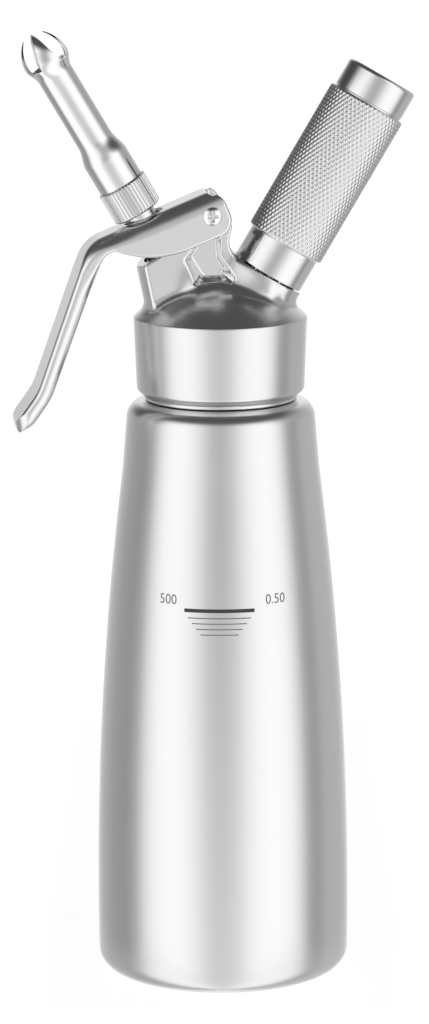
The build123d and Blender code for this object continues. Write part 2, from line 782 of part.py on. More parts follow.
def inletCap():
    """The perforated plug that keeps the ball and its spring in."""
    foot = inletBottom - inletCapThick
    body = rod(checkChamberRadius, inletBottom, checkFloor) + rod(inletRadius, foot, inletBottom)
    for i in range(inletPortCount):
        hole = Pos(checkCoilRadius, 0, 0) * rod(inletPortRadius, foot, checkFloor)
        body -= Rot(0, 0, 360 / inletPortCount * i) * hole
    return chargerFrame * body


parts = {
    "bottle": bottle,
    "head_gasket": headGasket,
    "head_body": headBody,
    "valve_stem": valveStem,
    "stem_oring": stemOring,
    "valve_seal": valveSealRing,
    "push_collar": pushCollar,
    "valve_spring": valveSpring,
    "nozzle_nut": nozzleNut,
    "nozzle_gasket": nozzleGasket,
    "nozzle": nozzle,
    "lever": lever,
    "pivot_barrel": pivotBarrel,
    "pivot_screw": pivotScrew,
    "charger_holder": chargerHolder,
    "charger_capsule": chargerCapsule,
    "charger_cap": chargerCap,
    "charger_seal": chargerSeal,
    "piercing_pin": piercingPin,
    "inlet_valve_body": inletValveBody,
    "check_ball": checkBall,
    "check_spring": checkSpring,
    "inlet_cap": inletCap,
}

os.makedirs("parts", exist_ok=True)
for name, build in parts.items():
    export_step(build(), f"parts/{name}.step")
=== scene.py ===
import bpy
import bmesh
import json
import numpy as np
from math import acos, asin, atan2, ceil, cos, degrees, hypot, pi, radians, sin, sqrt, tan
from mathutils import Matrix, Vector


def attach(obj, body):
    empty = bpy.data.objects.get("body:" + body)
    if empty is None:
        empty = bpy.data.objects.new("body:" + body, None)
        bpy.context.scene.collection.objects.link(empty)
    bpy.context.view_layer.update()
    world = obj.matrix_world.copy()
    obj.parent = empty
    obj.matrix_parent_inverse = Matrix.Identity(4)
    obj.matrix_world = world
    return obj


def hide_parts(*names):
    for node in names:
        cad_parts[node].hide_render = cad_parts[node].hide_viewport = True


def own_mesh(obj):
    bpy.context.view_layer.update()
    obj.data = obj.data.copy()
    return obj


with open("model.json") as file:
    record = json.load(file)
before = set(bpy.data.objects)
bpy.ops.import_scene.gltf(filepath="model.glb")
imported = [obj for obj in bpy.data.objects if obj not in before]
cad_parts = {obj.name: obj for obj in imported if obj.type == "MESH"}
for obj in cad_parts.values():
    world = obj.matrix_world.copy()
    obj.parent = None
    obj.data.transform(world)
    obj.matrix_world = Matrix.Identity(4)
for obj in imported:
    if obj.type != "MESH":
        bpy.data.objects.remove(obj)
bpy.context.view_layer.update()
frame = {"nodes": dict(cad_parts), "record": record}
scene = bpy.context.scene
nodes = frame["nodes"]
print("frame loaded:", len(nodes), "nodes")

# Lengths in this script are millimetres, like the part's own sizes; meshes are written in metres.
mm = 0.001

# The two tilted axes of the head, and the pivot of the lever
axes = {
    "valve": {"origin": (-25.757, 0.0, 244.402), "tilt": -30.4},
    "charger": {"origin": (15.021, 0.0, 224.198), "tilt": 30.9},
}
pivot = (-3.5, 243.7)


def linear(code):
    # an sRGB hex colour as linear red, green, blue and alpha
    parts = [int(code[i:i + 2], 16) / 255 for i in (1, 3, 5)]
    return [p / 12.92 if p <= 0.04045 else ((p + 0.055) / 1.055) ** 2.4 for p in parts] + [1.0]


def addNode(tree, kind, inputs=(), **settings):
    # adds one node, sets its options, and fills or links its inputs, where a node stands for its first output
    node = tree.nodes.new(kind)
    for name, value in settings.items():
        setattr(node, name, value)
    for key, value in inputs.items() if isinstance(inputs, dict) else enumerate(inputs):
        if isinstance(value, bpy.types.Node):
            value = value.outputs[0]
        if isinstance(value, bpy.types.NodeSocket):
            tree.links.new(value, node.inputs[key])
        else:
            node.inputs[key].default_value = value
    return node


def axisMatrix(name):
    # from a tilted axis's own coordinates, with Z outwards, to the shared frame
    tilt = radians(axes[name]["tilt"])
    turn = Matrix.Rotation(tilt, 4, "Y")
    return Matrix.Translation(Vector(axes[name]["origin"])) @ turn


def rounded(corners, closed=True, step=7.5):
    # a polyline through (x, y) corners, where a third number rounds that corner
    line = []
    for i, corner in enumerate(corners):
        here = np.array(corner[:2], float)
        radius = corner[2] if len(corner) > 2 else 0
        if not radius or (not closed and i in (0, len(corners) - 1)):
            line.append(tuple(here))
            continue
        a = np.array(corners[i - 1][:2], float) - here
        b = np.array(corners[(i + 1) % len(corners)][:2], float) - here
        a, b = a / np.linalg.norm(a), b / np.linalg.norm(b)
        half = acos(max(-1, min(1, float(a @ b)))) / 2
        centre = here + (a + b) / np.linalg.norm(a + b) * radius / sin(half)
        first = here + a * radius / tan(half) - centre
        last = here + b * radius / tan(half) - centre
        start = atan2(first[1], first[0])
        sweep = (atan2(last[1], last[0]) - start + pi) % (2 * pi) - pi
        count = max(2, ceil(abs(degrees(sweep)) / step))
        for k in range(count + 1):
            angle = start + sweep * k / count
            line.append((centre[0] + radius * cos(angle), centre[1] + radius * sin(angle)))
    return line


def smooth(value, start, end):
    # 0 before the start, 1 past the end, with soft ends
    share = np.clip((value - start) / (end - start), 0, 1)
    return share * share * (3 - 2 * share)


def tidyMesh(mesh, sharpAngle, recalculate=True):
    # merges doubles, turns the faces outwards and keeps edges sharper than the angle crisp
    work = bmesh.new()
    work.from_mesh(mesh)
    bmesh.ops.remove_doubles(work, verts=work.verts, dist=1e-7)
    bmesh.ops.dissolve_degenerate(work, edges=work.edges, dist=1e-8)
    if recalculate:
        bmesh.ops.recalc_face_normals(work, faces=work.faces)
    work.to_mesh(mesh)
    work.free()
    mesh.shade_smooth()
    mesh.set_sharp_from_angle(angle=radians(sharpAngle))
    return mesh


def placeMesh(mesh, place=None):
    # from millimetres on a tilted axis, or in the frame, to metres
    mesh.transform(Matrix.Scale(mm, 4) @ (place or Matrix.Identity(4)))


def builtMesh(name, points, faces, place, sharpAngle):
    mesh = bpy.data.meshes.new(name)
    mesh.from_pydata(points, [], faces)
    placeMesh(mesh, place)
    return tidyMesh(mesh, sharpAngle)


def addPiece(name, mesh, body, material, replaced=()):
    # makes the finished piece, which rides on its body and may stand for CAD nodes
    piece = bpy.data.objects.new(name, mesh)
    scene.collection.objects.link(piece)
    mesh.materials.clear()
    mesh.materials.append(material)
    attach(piece, body)
    if replaced:
        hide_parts(*replaced)
    print("made", name, len(mesh.polygons), "faces")
    return piece


def evaluatedMesh(holder):
    # what the holder shows, as a plain mesh; its modifier and the holder are removed
    graph = bpy.context.evaluated_depsgraph_get()
    mesh = bpy.data.meshes.new_from_object(holder.evaluated_get(graph))
    for modifier in list(holder.modifiers):
        holder.modifiers.remove(modifier)
    bpy.data.objects.remove(holder)
    return mesh


def addLathed(name, outline, body, material, place=None, steps=160, replaced=()):
    # turns a closed (radius, height) outline about Z
    points, faces = [], []
    count = len(outline)
    for k in range(steps):
        angle = 2 * pi * k / steps
        points += [(r * cos(angle), r * sin(angle), z) for r, z in outline]
        here, there = k * count, (k + 1) % steps * count
        for i in range(count):
            j = (i + 1) % count
            if outline[i][0] > 1e-6 or outline[j][0] > 1e-6:
                faces.append((here + i, here + j, there + j, there + i))
    mesh = builtMesh(name, points, faces, place, sharpAngle=28)
    return addPiece(name, mesh, body, material, replaced)


def addGrown(name, tree, sizes, body, material, place=None, sharpAngle=30, recalculate=False,
             replaced=()):
    # runs a Geometry Nodes tree with named sizes, and makes its result a piece
    holder = bpy.data.objects.new(name + "_source", bpy.data.meshes.new(name + "_source"))
    scene.collection.objects.link(holder)
    modifier = holder.modifiers.new(name, "NODES")
    modifier.node_group = tree
    values = dict(sizes, Material=material)
    for item in tree.interface.items_tree:
        if item.in_out == "INPUT" and item.name in values:
            modifier[item.identifier] = values[item.name]
    mesh = evaluatedMesh(holder)
    placeMesh(mesh, place)
    return addPiece(name, tidyMesh(mesh, sharpAngle, recalculate), body, material, replaced)


def newTree(name, sizes):
    # an empty Geometry Nodes tree with a geometry output and one named input per size
    tree = bpy.data.node_groups.new(name, "GeometryNodeTree")
    kinds = {int: "NodeSocketInt", float: "NodeSocketFloat"}
    for key, value in sizes.items():
        socket = tree.interface.new_socket(name=key, in_out="INPUT", socket_type=kinds[type(value)])
        socket.default_value = value
    tree.interface.new_socket(name="Material", in_out="INPUT", socket_type="NodeSocketMaterial")
    tree.interface.new_socket(name="Geometry", in_out="OUTPUT", socket_type="NodeSocketGeometry")
    return tree, addNode(tree, "NodeGroupInput").outputs


def closeTree(tree, size, shape):
    # every tree ends in real geometry with its material
    solid = addNode(tree, "GeometryNodeRealizeInstances", (shape,))
    paint = addNode(tree, "GeometryNodeSetMaterial", {"Geometry": solid, "Material": size["Material"]})
    addNode(tree, "NodeGroupOutput", (paint,))
    return tree


def roundAxis(tree, radius, angle, height):
    # the place at a radius and a height, turned about Z from the X axis
    cosine = addNode(tree, "ShaderNodeMath", (angle,), operation="COSINE")
    sine = addNode(tree, "ShaderNodeMath", (angle,), operation="SINE")
    x = addNode(tree, "ShaderNodeMath", (radius, cosine), operation="MULTIPLY")
    y = addNode(tree, "ShaderNodeMath", (radius, sine), operation="MULTIPLY")
    return addNode(tree, "ShaderNodeCombineXYZ", (x, y, height))


# Distance fields: negative inside the metal. They take broadcast arrays, so the same function serves
# a whole grid and a list of points.
def polygonField(outline, x, z):
    # signed distance to a closed outline
    shape = np.broadcast(x, z).shape
    px = np.broadcast_to(x, shape).ravel()
    pz = np.broadcast_to(z, shape).ravel()
    best = np.full(px.shape, 1e9)
    inside = np.zeros(px.shape, bool)
    count = len(outline)
    for i in range(count):
        ax, az = outline[i]
        bx, bz = outline[(i + 1) % count]
        ex, ez = bx - ax, bz - az
        length = ex * ex + ez * ez
        if length < 1e-12:
            continue
        share = np.clip(((px - ax) * ex + (pz - az) * ez) / length, 0, 1)
        best = np.minimum(best, (px - ax - share * ex) ** 2 + (pz - az - share * ez) ** 2)
        if az != bz:
            crosses = (az > pz) != (bz > pz)
            inside ^= crosses & (px < ex * (pz - az) / ez + ax)
    result = np.sqrt(best)
    return np.where(inside, -result, result).reshape(shape)


def meet(a, b, radius):
    # what lies in both, with the edge between them rounded
    corner = np.sqrt(np.maximum(a + radius, 0) ** 2 + np.maximum(b + radius, 0) ** 2) - radius
    return corner + np.minimum(np.maximum(a + radius, b + radius), 0)


def join(a, b, radius):
    # what lies in either, with a fillet between them
    return -meet(-a, -b, radius)


def localAxis(name, x, z):
    # distance across and along a tilted axis, in the plane of both tilts
    tilt = radians(axes[name]["tilt"])
    ox, oy, oz = axes[name]["origin"]
    return (x - ox) * cos(tilt) - (z - oz) * sin(tilt), (x - ox) * sin(tilt) + (z - oz) * cos(tilt)


def fieldMesh(name, field, low, high, step):
    # meshes a distance field with surface nets, then moves every point on to the surface
    low, high = np.array(low, float), np.array(high, float)
    counts = np.ceil((high - low) / step).astype(int) + 1
    lines = [low[k] + step * np.arange(counts[k]) for k in range(3)]
    values = field(lines[0][:, None, None], lines[1][None, :, None], lines[2][None, None, :])
    values = np.broadcast_to(values, counts)
    cells = counts - 1
    total = np.zeros((*cells, 3), np.float32)
    number = np.zeros(cells, np.int32)
    crossings = []
    for axis in range(3):
        first = [slice(None)] * 3
        second = [slice(None)] * 3
        first[axis], second[axis] = slice(0, -1), slice(1, None)
        a, b = values[tuple(first)], values[tuple(second)]
        cross = (a < 0) != (b < 0)
        share = np.where(cross, a / np.where(cross, a - b, 1), 0).astype(np.float32)
        crossings.append((cross, a < 0))
        others = [k for k in range(3) if k != axis]
        for du in (0, 1):
            for dv in (0, 1):
                part = [slice(None)] * 3
                part[others[0]] = slice(du, du + cells[others[0]])
                part[others[1]] = slice(dv, dv + cells[others[1]])
                hit = cross[tuple(part)]
                number += hit
                total[..., axis] += share[tuple(part)]
                total[..., others[0]] += hit * du
                total[..., others[1]] += hit * dv
    used = number > 0
    index = np.full(cells, -1)
    index[used] = np.arange(used.sum())
    points = low + step * (np.argwhere(used) + total[used] / number[used][:, None])
    quads = []
    for axis in range(3):
        cross, inward = crossings[axis]
        u, v = [k for k in range(3) if k != axis]
        where = np.argwhere(cross)
        for k in (u, v):
            where = where[(where[:, k] > 0) & (where[:, k] < cells[k])]
        flip = inward[tuple(where.T)] ^ (axis == 1)
        ring = []
        for du, dv in ((1, 1), (0, 1), (0, 0), (1, 0)):
            spot = where.copy()
            spot[:, u] -= du
            spot[:, v] -= dv
            ring.append(index[tuple(spot.T)])
        ring = np.stack(ring, 1)
        quads.append(np.where(flip[:, None], ring, ring[:, ::-1]))
    quads = np.concatenate(quads)

    def slope(p):
        reach = 0.02
        parts = []
        for k in range(3):
            ahead, behind = p.copy(), p.copy()
            ahead[:, k] += reach
            behind[:, k] -= reach
            parts.append(field(*ahead.T) - field(*behind.T))
        return np.stack(parts, 1) / (2 * reach)

    for _ in range(3):
        lean = slope(points)
        size = np.maximum((lean ** 2).sum(1), 0.2)
        move = -(field(*points.T) / size)[:, None] * lean
        length = np.linalg.norm(move, axis=1, keepdims=True)
        points = points + move * np.minimum(1, 0.5 * step / np.maximum(length, 1e-9))
    lean = slope(points)
    lean /= np.maximum(np.linalg.norm(lean, axis=1, keepdims=True), 1e-9)
    mesh = bpy.data.meshes.new(name)
    mesh.from_pydata((points * mm).tolist(), [], quads.tolist())
    mesh.shade_smooth()
    mesh.normals_split_custom_set_from_vertices(lean.tolist())
    return mesh


def newMaterial(name):
    material = bpy.data.materials.new(name)
    material.use_nodes = True
    material.node_tree.nodes.clear()
    return material, material.node_tree


def steelMaterial(name, colour, roughness, grain=0.0, grainSize=0.2, stretch=(1, 1, 1), cast=None):
    # a bare metal: constant colour, roughness that drifts a little, and a fine grain in the bump
    spread = 0.01
    material, tree = newMaterial(name)
    shader = addNode(tree, "ShaderNodeBsdfPrincipled", {
        "Base Color": linear(colour), "Metallic": 1.0, "Roughness": roughness})
    place = addNode(tree, "ShaderNodeTexCoord")
    drift = addNode(tree, "ShaderNodeTexNoise", {
        "Vector": place.outputs["Object"], "Scale": 55.0, "Detail": 3.0})
    finish = addNode(tree, "ShaderNodeMapRange", {
        "Value": drift, "From Min": 0.3, "From Max": 0.7, "To Min": roughness - spread,
        "To Max": roughness + spread})
    if cast:
        # past a sphere on the part's axis the turned face gives way to the cast one
        centre, radius, beyond = cast
        away = addNode(tree, "ShaderNodeVectorMath", (
            place.outputs["Object"], (0.0, 0.0, centre * mm)), operation="DISTANCE")
        outside = addNode(tree, "ShaderNodeMapRange", {
            "Value": away.outputs["Value"], "From Min": (radius + 0.2) * mm,
            "From Max": (radius + 1.8) * mm, "To Min": 0.0, "To Max": beyond - roughness})
        finish = addNode(tree, "ShaderNodeMath", (finish, outside), operation="ADD")
    tree.links.new(finish.outputs[0], shader.inputs["Roughness"])
    if grain:
        scaled = addNode(tree, "ShaderNodeMapping", {
            "Vector": place.outputs["Object"], "Scale": [s / (grainSize * mm) for s in stretch]})
        lines = addNode(tree, "ShaderNodeTexNoise", {"Vector": scaled, "Scale": 1.0, "Detail": 2.0})
        bump = addNode(tree, "ShaderNodeBump", {
            "Height": lines, "Strength": grain, "Distance": grainSize * mm})
        tree.links.new(bump.outputs[0], shader.inputs["Normal"])
    addNode(tree, "ShaderNodeOutputMaterial", (shader,))
    return material


def softMaterial(name, colour, roughness):
    # a moulded rubber part with a faint dusty variation
    material, tree = newMaterial(name)
    place = addNode(tree, "ShaderNodeTexCoord")
    noise = addNode(tree, "ShaderNodeTexNoise", {
        "Vector": place.outputs["Object"], "Scale": 400.0, "Detail": 2.0})
    clean = linear(colour)
    dusty = [c * 0.8 for c in clean[:3]] + [1.0]
    mix = addNode(tree, "ShaderNodeMix", {0: noise, 6: clean, 7: dusty}, data_type="RGBA")
    shader = addNode(tree, "ShaderNodeBsdfPrincipled", {
        "Base Color": mix.outputs[2], "Roughness": roughness})
    addNode(tree, "ShaderNodeOutputMaterial", (shader,))
    return material


# Deep-drawn stainless, satin brushed round the bottle: broad soft highlights
satinSteel = steelMaterial("satinSteel", "#E3E3E4", 0.24, 0.05, 0.15, (0.3, 0.3, 2.0))
# Turned and buffed stainless: collar, dome and holder bands, nearly a mirror
buffedSteel = steelMaterial("buffedSteel", "#E1E1E2", 0.17, 0.02, 0.2)
# The head's casting: buffed on the collar and the dome, and polished finer on the post above them
headSteel = steelMaterial("castHeadSteel", "#E0E0E0", 0.25, 0.03, 0.25, cast=(181.56, 40.0, 0.15))
# Bead-blasted and tumbled investment casting: the lever, soft and even
castSteel = steelMaterial("castSteel", "#E3E3E3", 0.24, 0.04, 0.35)
# Drawn and mirror-polished tube: the nozzle
mirrorSteel = steelMaterial("mirrorSteel", "#E8E8E9", 0.1)
# Turned and diamond-knurled stainless: the holder's grip and the ribbed nut
knurledSteel = steelMaterial("knurledSteel", "#DEDEDF", 0.2, 0.03, 0.1)
# Cold-drawn spring wire: darker and a little duller
springSteel = steelMaterial("springSteel", "#A8A8AB", 0.3)
# Zinc-plated deep-drawn charger: cool and dull
platedSteel = steelMaterial("platedSteel", "#B4B6BB", 0.35)
# Moulded food silicone and black nitrile seals
silicone = softMaterial("mouldedSilicone", "#CFCFCB", 0.55)
blackRubber = softMaterial("mouldedNitrile", "#1B1B1C", 0.5)
# Etched and darkened print of the fill mark
etchedMark = softMaterial("etchedMark", "#3A3A3C", 0.5)
paleMark = softMaterial("etchedPaleMark", "#77777A", 0.5)

slotMaterials = {
    "satin_steel": satinSteel, "polished_steel": buffedSteel, "bright_steel": mirrorSteel,
    "cast_steel": castSteel, "spring_steel": springSteel, "plated_capsule": platedSteel,
    "silicone": silicone, "black_rubber": blackRubber,
}
for part in frame["record"]["subparts"]:
    mesh = nodes[part["node"]].data
    mesh.materials.clear()
    mesh.materials.append(slotMaterials[part["material_slot"]])
print("materials set")


bottle = {
    "radius": 40.0, "belly": 24.0, "flank": 1080.0, "foot": 6.3, "ringInner": 29.0, "baseRise": 2.6,
    "baseStep": 2.4, "wall": 1.0, "shoulder": 183.5, "slope": 12.0, "shoulderRadius": 5.4, "neck": 22.4,
    "neckBlend": 1.0, "fullness": 1.25, "fullFrom": 160, "fullTo": 186, "mouth": 20.8, "lip": 206.0,
}


def flankAt(height, inset=0.0):
    # a large arc, a little fuller under the shoulder
    b = bottle
    arc = sqrt((b["flank"] - inset) ** 2 - (height - b["belly"]) ** 2)
    return b["radius"] - b["flank"] + arc + b["fullness"] * float(smooth(height, b["fullFrom"], b["fullTo"]))


def bottleOutline():
    b = bottle
    slope = radians(b["slope"])
    neckFoot = b["shoulder"] + (flankAt(b["shoulder"]) - b["neck"]) * tan(slope)
    ringStep = b["ringInner"] - b["baseStep"]
    outside = [(0, b["baseRise"]), (ringStep, b["baseRise"], 0.8), (b["ringInner"], 0, 0.8),
               (flankAt(0), 0, b["foot"])]
    outside += [(flankAt(z), z) for z in range(12, 172, 8)]
    outside += [(flankAt(b["shoulder"]), b["shoulder"], b["shoulderRadius"]),
                (b["neck"], neckFoot, b["neckBlend"]), (b["neck"], b["lip"], 0.5),
                (b["mouth"], b["lip"], 0.5)]
    wall = b["wall"]
    innerShoulder = b["shoulder"] - wall * tan((pi / 2 - slope) / 2)
    innerFlank = flankAt(innerShoulder, wall)
    innerNeck = innerShoulder + (innerFlank - b["mouth"]) * tan(slope)
    inside = [(b["mouth"], innerNeck, b["neckBlend"] + wall),
              (innerFlank, innerShoulder, b["shoulderRadius"] - wall)]
    inside += [(flankAt(z, wall), z) for z in range(168, 11, -12)]
    inside += [(flankAt(wall, wall), wall, b["foot"] - wall), (b["ringInner"], wall, 0.6),
               (ringStep, b["baseRise"] + wall, 0.6), (0, b["baseRise"] + wall)]
    return rounded(outside + inside)


addLathed("bottle_shell", bottleOutline(), "bottle_body", satinSteel, steps=192,
          replaced=["bottle"])


# Screw threads: one ridge wound round a cylinder. Half the flat crest and the fade at both ends are
# shares of the strip, the dip into the cylinder one of the thread's depth, the width one of its pitch
ridge = {"crestHalf": 0.14, "dip": -0.15, "fade": 0.04, "width": 0.8}
threads = {
    "neck_thread": {"Root": bottle["neck"], "Crest": 23.2, "Foot": 192.2, "Pitch": 3.5, "Turns": 3.25,
                    "Steps": 300},
    "spigot_thread": {"Root": 9.4, "Crest": 10.0, "Foot": 1.6, "Pitch": 2.0, "Turns": 3.1, "Steps": 200},
    "stem_thread": {"Root": 4.6, "Crest": 5.0, "Foot": 0.6, "Pitch": 1.5, "Turns": 3.0, "Steps": 120},
}


def threadTree():
    tree, size = newTree("screwThread", threads["neck_thread"])
    # a strip of six points across and one column per step, wound up afterwards
    strip = addNode(tree, "GeometryNodeMeshGrid", {
        "Size X": 1.0, "Size Y": 1.0, "Vertices X": size["Steps"], "Vertices Y": 6})
    place = addNode(tree, "GeometryNodeInputPosition")
    column, offset, _ = addNode(tree, "ShaderNodeSeparateXYZ", (place,)).outputs
    along = addNode(tree, "ShaderNodeMath", (column, 0.5), operation="ADD")
    fullTurn = addNode(tree, "ShaderNodeMath", (size["Turns"], 2 * pi), operation="MULTIPLY")
    angle = addNode(tree, "ShaderNodeMath", (along, fullTurn), operation="MULTIPLY")
    # flat crest, sloping flanks: the height over the root is a clipped tent across the strip
    side = addNode(tree, "ShaderNodeMath", (offset,), operation="ABSOLUTE")
    tent = addNode(tree, "ShaderNodeMapRange", {
        "Value": side, "From Min": ridge["crestHalf"], "From Max": 0.5, "To Min": 1.0,
        "To Max": ridge["dip"]})
    # the ridge fades into the cylinder at both ends
    startFade = addNode(tree, "ShaderNodeMapRange", {
        "Value": along, "From Min": 0.0, "From Max": ridge["fade"], "To Min": ridge["dip"], "To Max": 1.0})
    endFade = addNode(tree, "ShaderNodeMapRange", {
        "Value": along, "From Min": 1.0 - ridge["fade"], "From Max": 1.0, "To Min": 1.0,
        "To Max": ridge["dip"]})
    fade = addNode(tree, "ShaderNodeMath", (startFade, endFade), operation="MINIMUM")
    lift = addNode(tree, "ShaderNodeMath", (tent, fade), operation="MINIMUM")
    depth = addNode(tree, "ShaderNodeMath", (size["Crest"], size["Root"]), operation="SUBTRACT")
    radius = addNode(tree, "ShaderNodeMath", (lift, depth, size["Root"]), operation="MULTIPLY_ADD")
    climb = addNode(tree, "ShaderNodeMath", (along, size["Turns"]), operation="MULTIPLY")
    width = addNode(tree, "ShaderNodeMath", (offset, ridge["width"], climb), operation="MULTIPLY_ADD")
    height = addNode(tree, "ShaderNodeMath", (width, size["Pitch"], size["Foot"]), operation="MULTIPLY_ADD")
    wound = roundAxis(tree, radius, angle, height)
    bend = addNode(tree, "GeometryNodeSetPosition", {"Geometry": strip, "Position": wound})
    return closeTree(tree, size, bend)


screwThread = threadTree()


def addThread(name, body, material, place=None):
    addGrown(name, screwThread, threads[name], body, material, place)


addThread("neck_thread", "bottle_body", satinSteel)

fillMark = {
    "bar": {"Count": 1, "Top": 123.675, "Gap": 1.72, "First Width": 22.2, "Last Width": 22.2,
            "Thickness": 1.15},
    "lines": {"Count": 4, "Top": 121.35, "Gap": 1.72, "First Width": 20.0, "Last Width": 11.9,
              "Thickness": 0.32},
    # the figures to the left and right of the bar: text, and place from the bar's middle
    "figures": {"fill_number_left": ("500", -16.6), "fill_number_right": ("0.50", 18.2)},
    "figureHeight": 126.6, "figureSize": 4.4, "figureSqueeze": 0.92,
    # the middle of the mark, as an angle round the bottle from the X axis, and its rise off the metal
    "place": {"Bearing": radians(-98.7), "Lift": 0.02},
}


def fillLineTree():
    # rows of thin strips, each row narrower than the one above, wrapped on the bottle's flank
    tree, size = newTree("fillLines", fillMark["lines"] | fillMark["place"])
    spots = addNode(tree, "GeometryNodeMeshLine", {"Count": size["Count"]})
    strip = addNode(tree, "GeometryNodeMeshGrid", {
        "Size X": 1.0, "Size Y": 1.0, "Vertices X": 40, "Vertices Y": 2})
    number = addNode(tree, "GeometryNodeInputIndex")
    last = addNode(tree, "ShaderNodeMath", (size["Count"], 1.0), operation="SUBTRACT")
    widest = addNode(tree, "ShaderNodeMath", (last, 1.0), operation="MAXIMUM")
    width = addNode(tree, "ShaderNodeMapRange", {
        "Value": number, "From Min": 0.0, "From Max": widest, "To Min": size["First Width"],
        "To Max": size["Last Width"]})
    scale = addNode(tree, "ShaderNodeCombineXYZ", (width, size["Thickness"], 1.0))
    drop = addNode(tree, "ShaderNodeMath", (number, size["Gap"]), operation="MULTIPLY")
    level = addNode(tree, "ShaderNodeMath", (size["Top"], drop), operation="SUBTRACT")
    spot = addNode(tree, "ShaderNodeCombineXYZ", (0.0, level, 0.0))
    placed = addNode(tree, "GeometryNodeSetPosition", {"Geometry": spots, "Position": spot})
    rows = addNode(tree, "GeometryNodeInstanceOnPoints", {
        "Points": placed, "Instance": strip, "Scale": scale})
    flat = addNode(tree, "GeometryNodeRealizeInstances", (rows,))
    place = addNode(tree, "GeometryNodeInputPosition")
    across, height, _ = addNode(tree, "ShaderNodeSeparateXYZ", (place,)).outputs
    # the flank's radius at each height, from its large arc
    rise = addNode(tree, "ShaderNodeMath", (height, bottle["belly"]), operation="SUBTRACT")
    square = addNode(tree, "ShaderNodeMath", (rise, 2.0), operation="POWER")
    under = addNode(tree, "ShaderNodeMath", (bottle["flank"] ** 2, square), operation="SUBTRACT")
    root = addNode(tree, "ShaderNodeMath", (under,), operation="SQRT")
    middle = addNode(tree, "ShaderNodeMath", (root, bottle["radius"] - bottle["flank"]), operation="ADD")
    radius = addNode(tree, "ShaderNodeMath", (middle, size["Lift"]), operation="ADD")
    swing = addNode(tree, "ShaderNodeMath", (across, radius), operation="DIVIDE")
    angle = addNode(tree, "ShaderNodeMath", (swing, size["Bearing"]), operation="ADD")
    wrapped = roundAxis(tree, radius, angle, height)
    bend = addNode(tree, "GeometryNodeSetPosition", {"Geometry": flat, "Position": wrapped})
    return closeTree(tree, size, bend)


fillLines = fillLineTree()
for name, material, key in (("fill_bar", etchedMark, "bar"), ("fill_lines", paleMark, "lines")):
    sizes = fillMark[key] | fillMark["place"]
    addGrown(name, fillLines, sizes, "bottle_body", material, sharpAngle=60)


def addFigure(name, text, centre):
    # plain volume figures beside the bar, bent round the flank
    words = bpy.data.curves.new(name, "FONT")
    words.body = text
    words.size = fillMark["figureSize"]
    words.align_x = "CENTER"
    words.align_y = "CENTER"
    words.resolution_u = 4
    holder = bpy.data.objects.new(name + "_source", words)
    scene.collection.objects.link(holder)
    mesh = evaluatedMesh(holder)
    bearing, lift = fillMark["place"].values()
    for vertex in mesh.vertices:
        height = fillMark["figureHeight"] + vertex.co.y
        radius = flankAt(height) + lift
        angle = bearing + (centre + vertex.co.x * fillMark["figureSqueeze"]) / radius
        vertex.co = Vector((radius * cos(angle), radius * sin(angle), height)) * mm
    addPiece(name, mesh, "bottle_body", paleMark)


for name, figure in fillMark["figures"].items():
    addFigure(name, *figure)
print("bottle done")


head = {
    "ceiling": 208.5, "rim": 210.8, "rimRadius": 27.3, "footRadius": 26.4, "chamferTop": 187.95,
    "chamferFoot": 186.1, "footRing": 24.1, "collarFoot": 184.95, "bore": 23.3, "dome": 40.0, "wall": 3.2,
    "cavity": 18.5, "half": 7.65, "flare": 4.2, "flareTop": 233.0, "flareRun": 16.0, "lean": 11.5,
    "frontShift": 1.5, "bossHalf": 7.7, "bossDrop": 14.5, "chamber": 6.3, "chamberFloor": -26.0,
    "seat": -34.0, "innerBoss": 8.4, "stemBore": 4.58, "sealBore": 6.9, "sealFoot": -38.2,
    "postRadius": 4.5, "pinRadius": 2.0, "pocketDepth": 2.5, "bow": 15.0, "flareFoot": -7.0,
    # the charger's side: boss, seat flange, spigot and the bore for the inlet valve
    "flange": 12.2, "boss": 11.7, "bossFoot": -14.6, "bossWaist": -6.0, "flangeFoot": -2.4,
    "flangeThick": 1.5, "gap": 0.45, "spigot": 10.0, "relief": 0.6, "spigotTop": 9.0, "capsuleBore": 5.5,
    "inletRadius": 4.9, "inletTop": 1.0, "inletFoot": -11.5, "inletBoss": 7.0,
    # the back of the post, from the pivot down
    "back": [(5.3, -1.6), (6.3, -3.2), (6.35, -4.6), (5.75, -6.6), (5.5, -8.6), (6.0, -11.0), (7.4, -13.6)],
    # the recess in each side of the post, from the pivot: its mouth, and its smaller floor
    "mouth": [(-8.8, -14.1), (-4.9, -20.5), (5.7, -20.2), (5.0, -16.6), (2.7, -12.8), (2.9, -6.5),
              (-4.0, -7.5)],
    "floor": [(-6.5, -12.8), (-2.3, -19.5), (2.1, -19.6), (3.9, -16.8), (1.8, -13.4), (1.6, -7.5),
              (-3.2, -8.5)],
    # fillets from the post to the charger boss and from both to the dome, and the crease at the front
    "bossFillet": 4.5, "domeFillet": 2.6, "edge": 0.8,
}


def fromPivot(point):
    return (pivot[0] + point[0], pivot[1] + point[1])


def onAxis(name, across, along):
    tilt = radians(axes[name]["tilt"])
    ox, oy, oz = axes[name]["origin"]
    return (ox + across * cos(tilt) + along * sin(tilt), oz - across * sin(tilt) + along * cos(tilt))


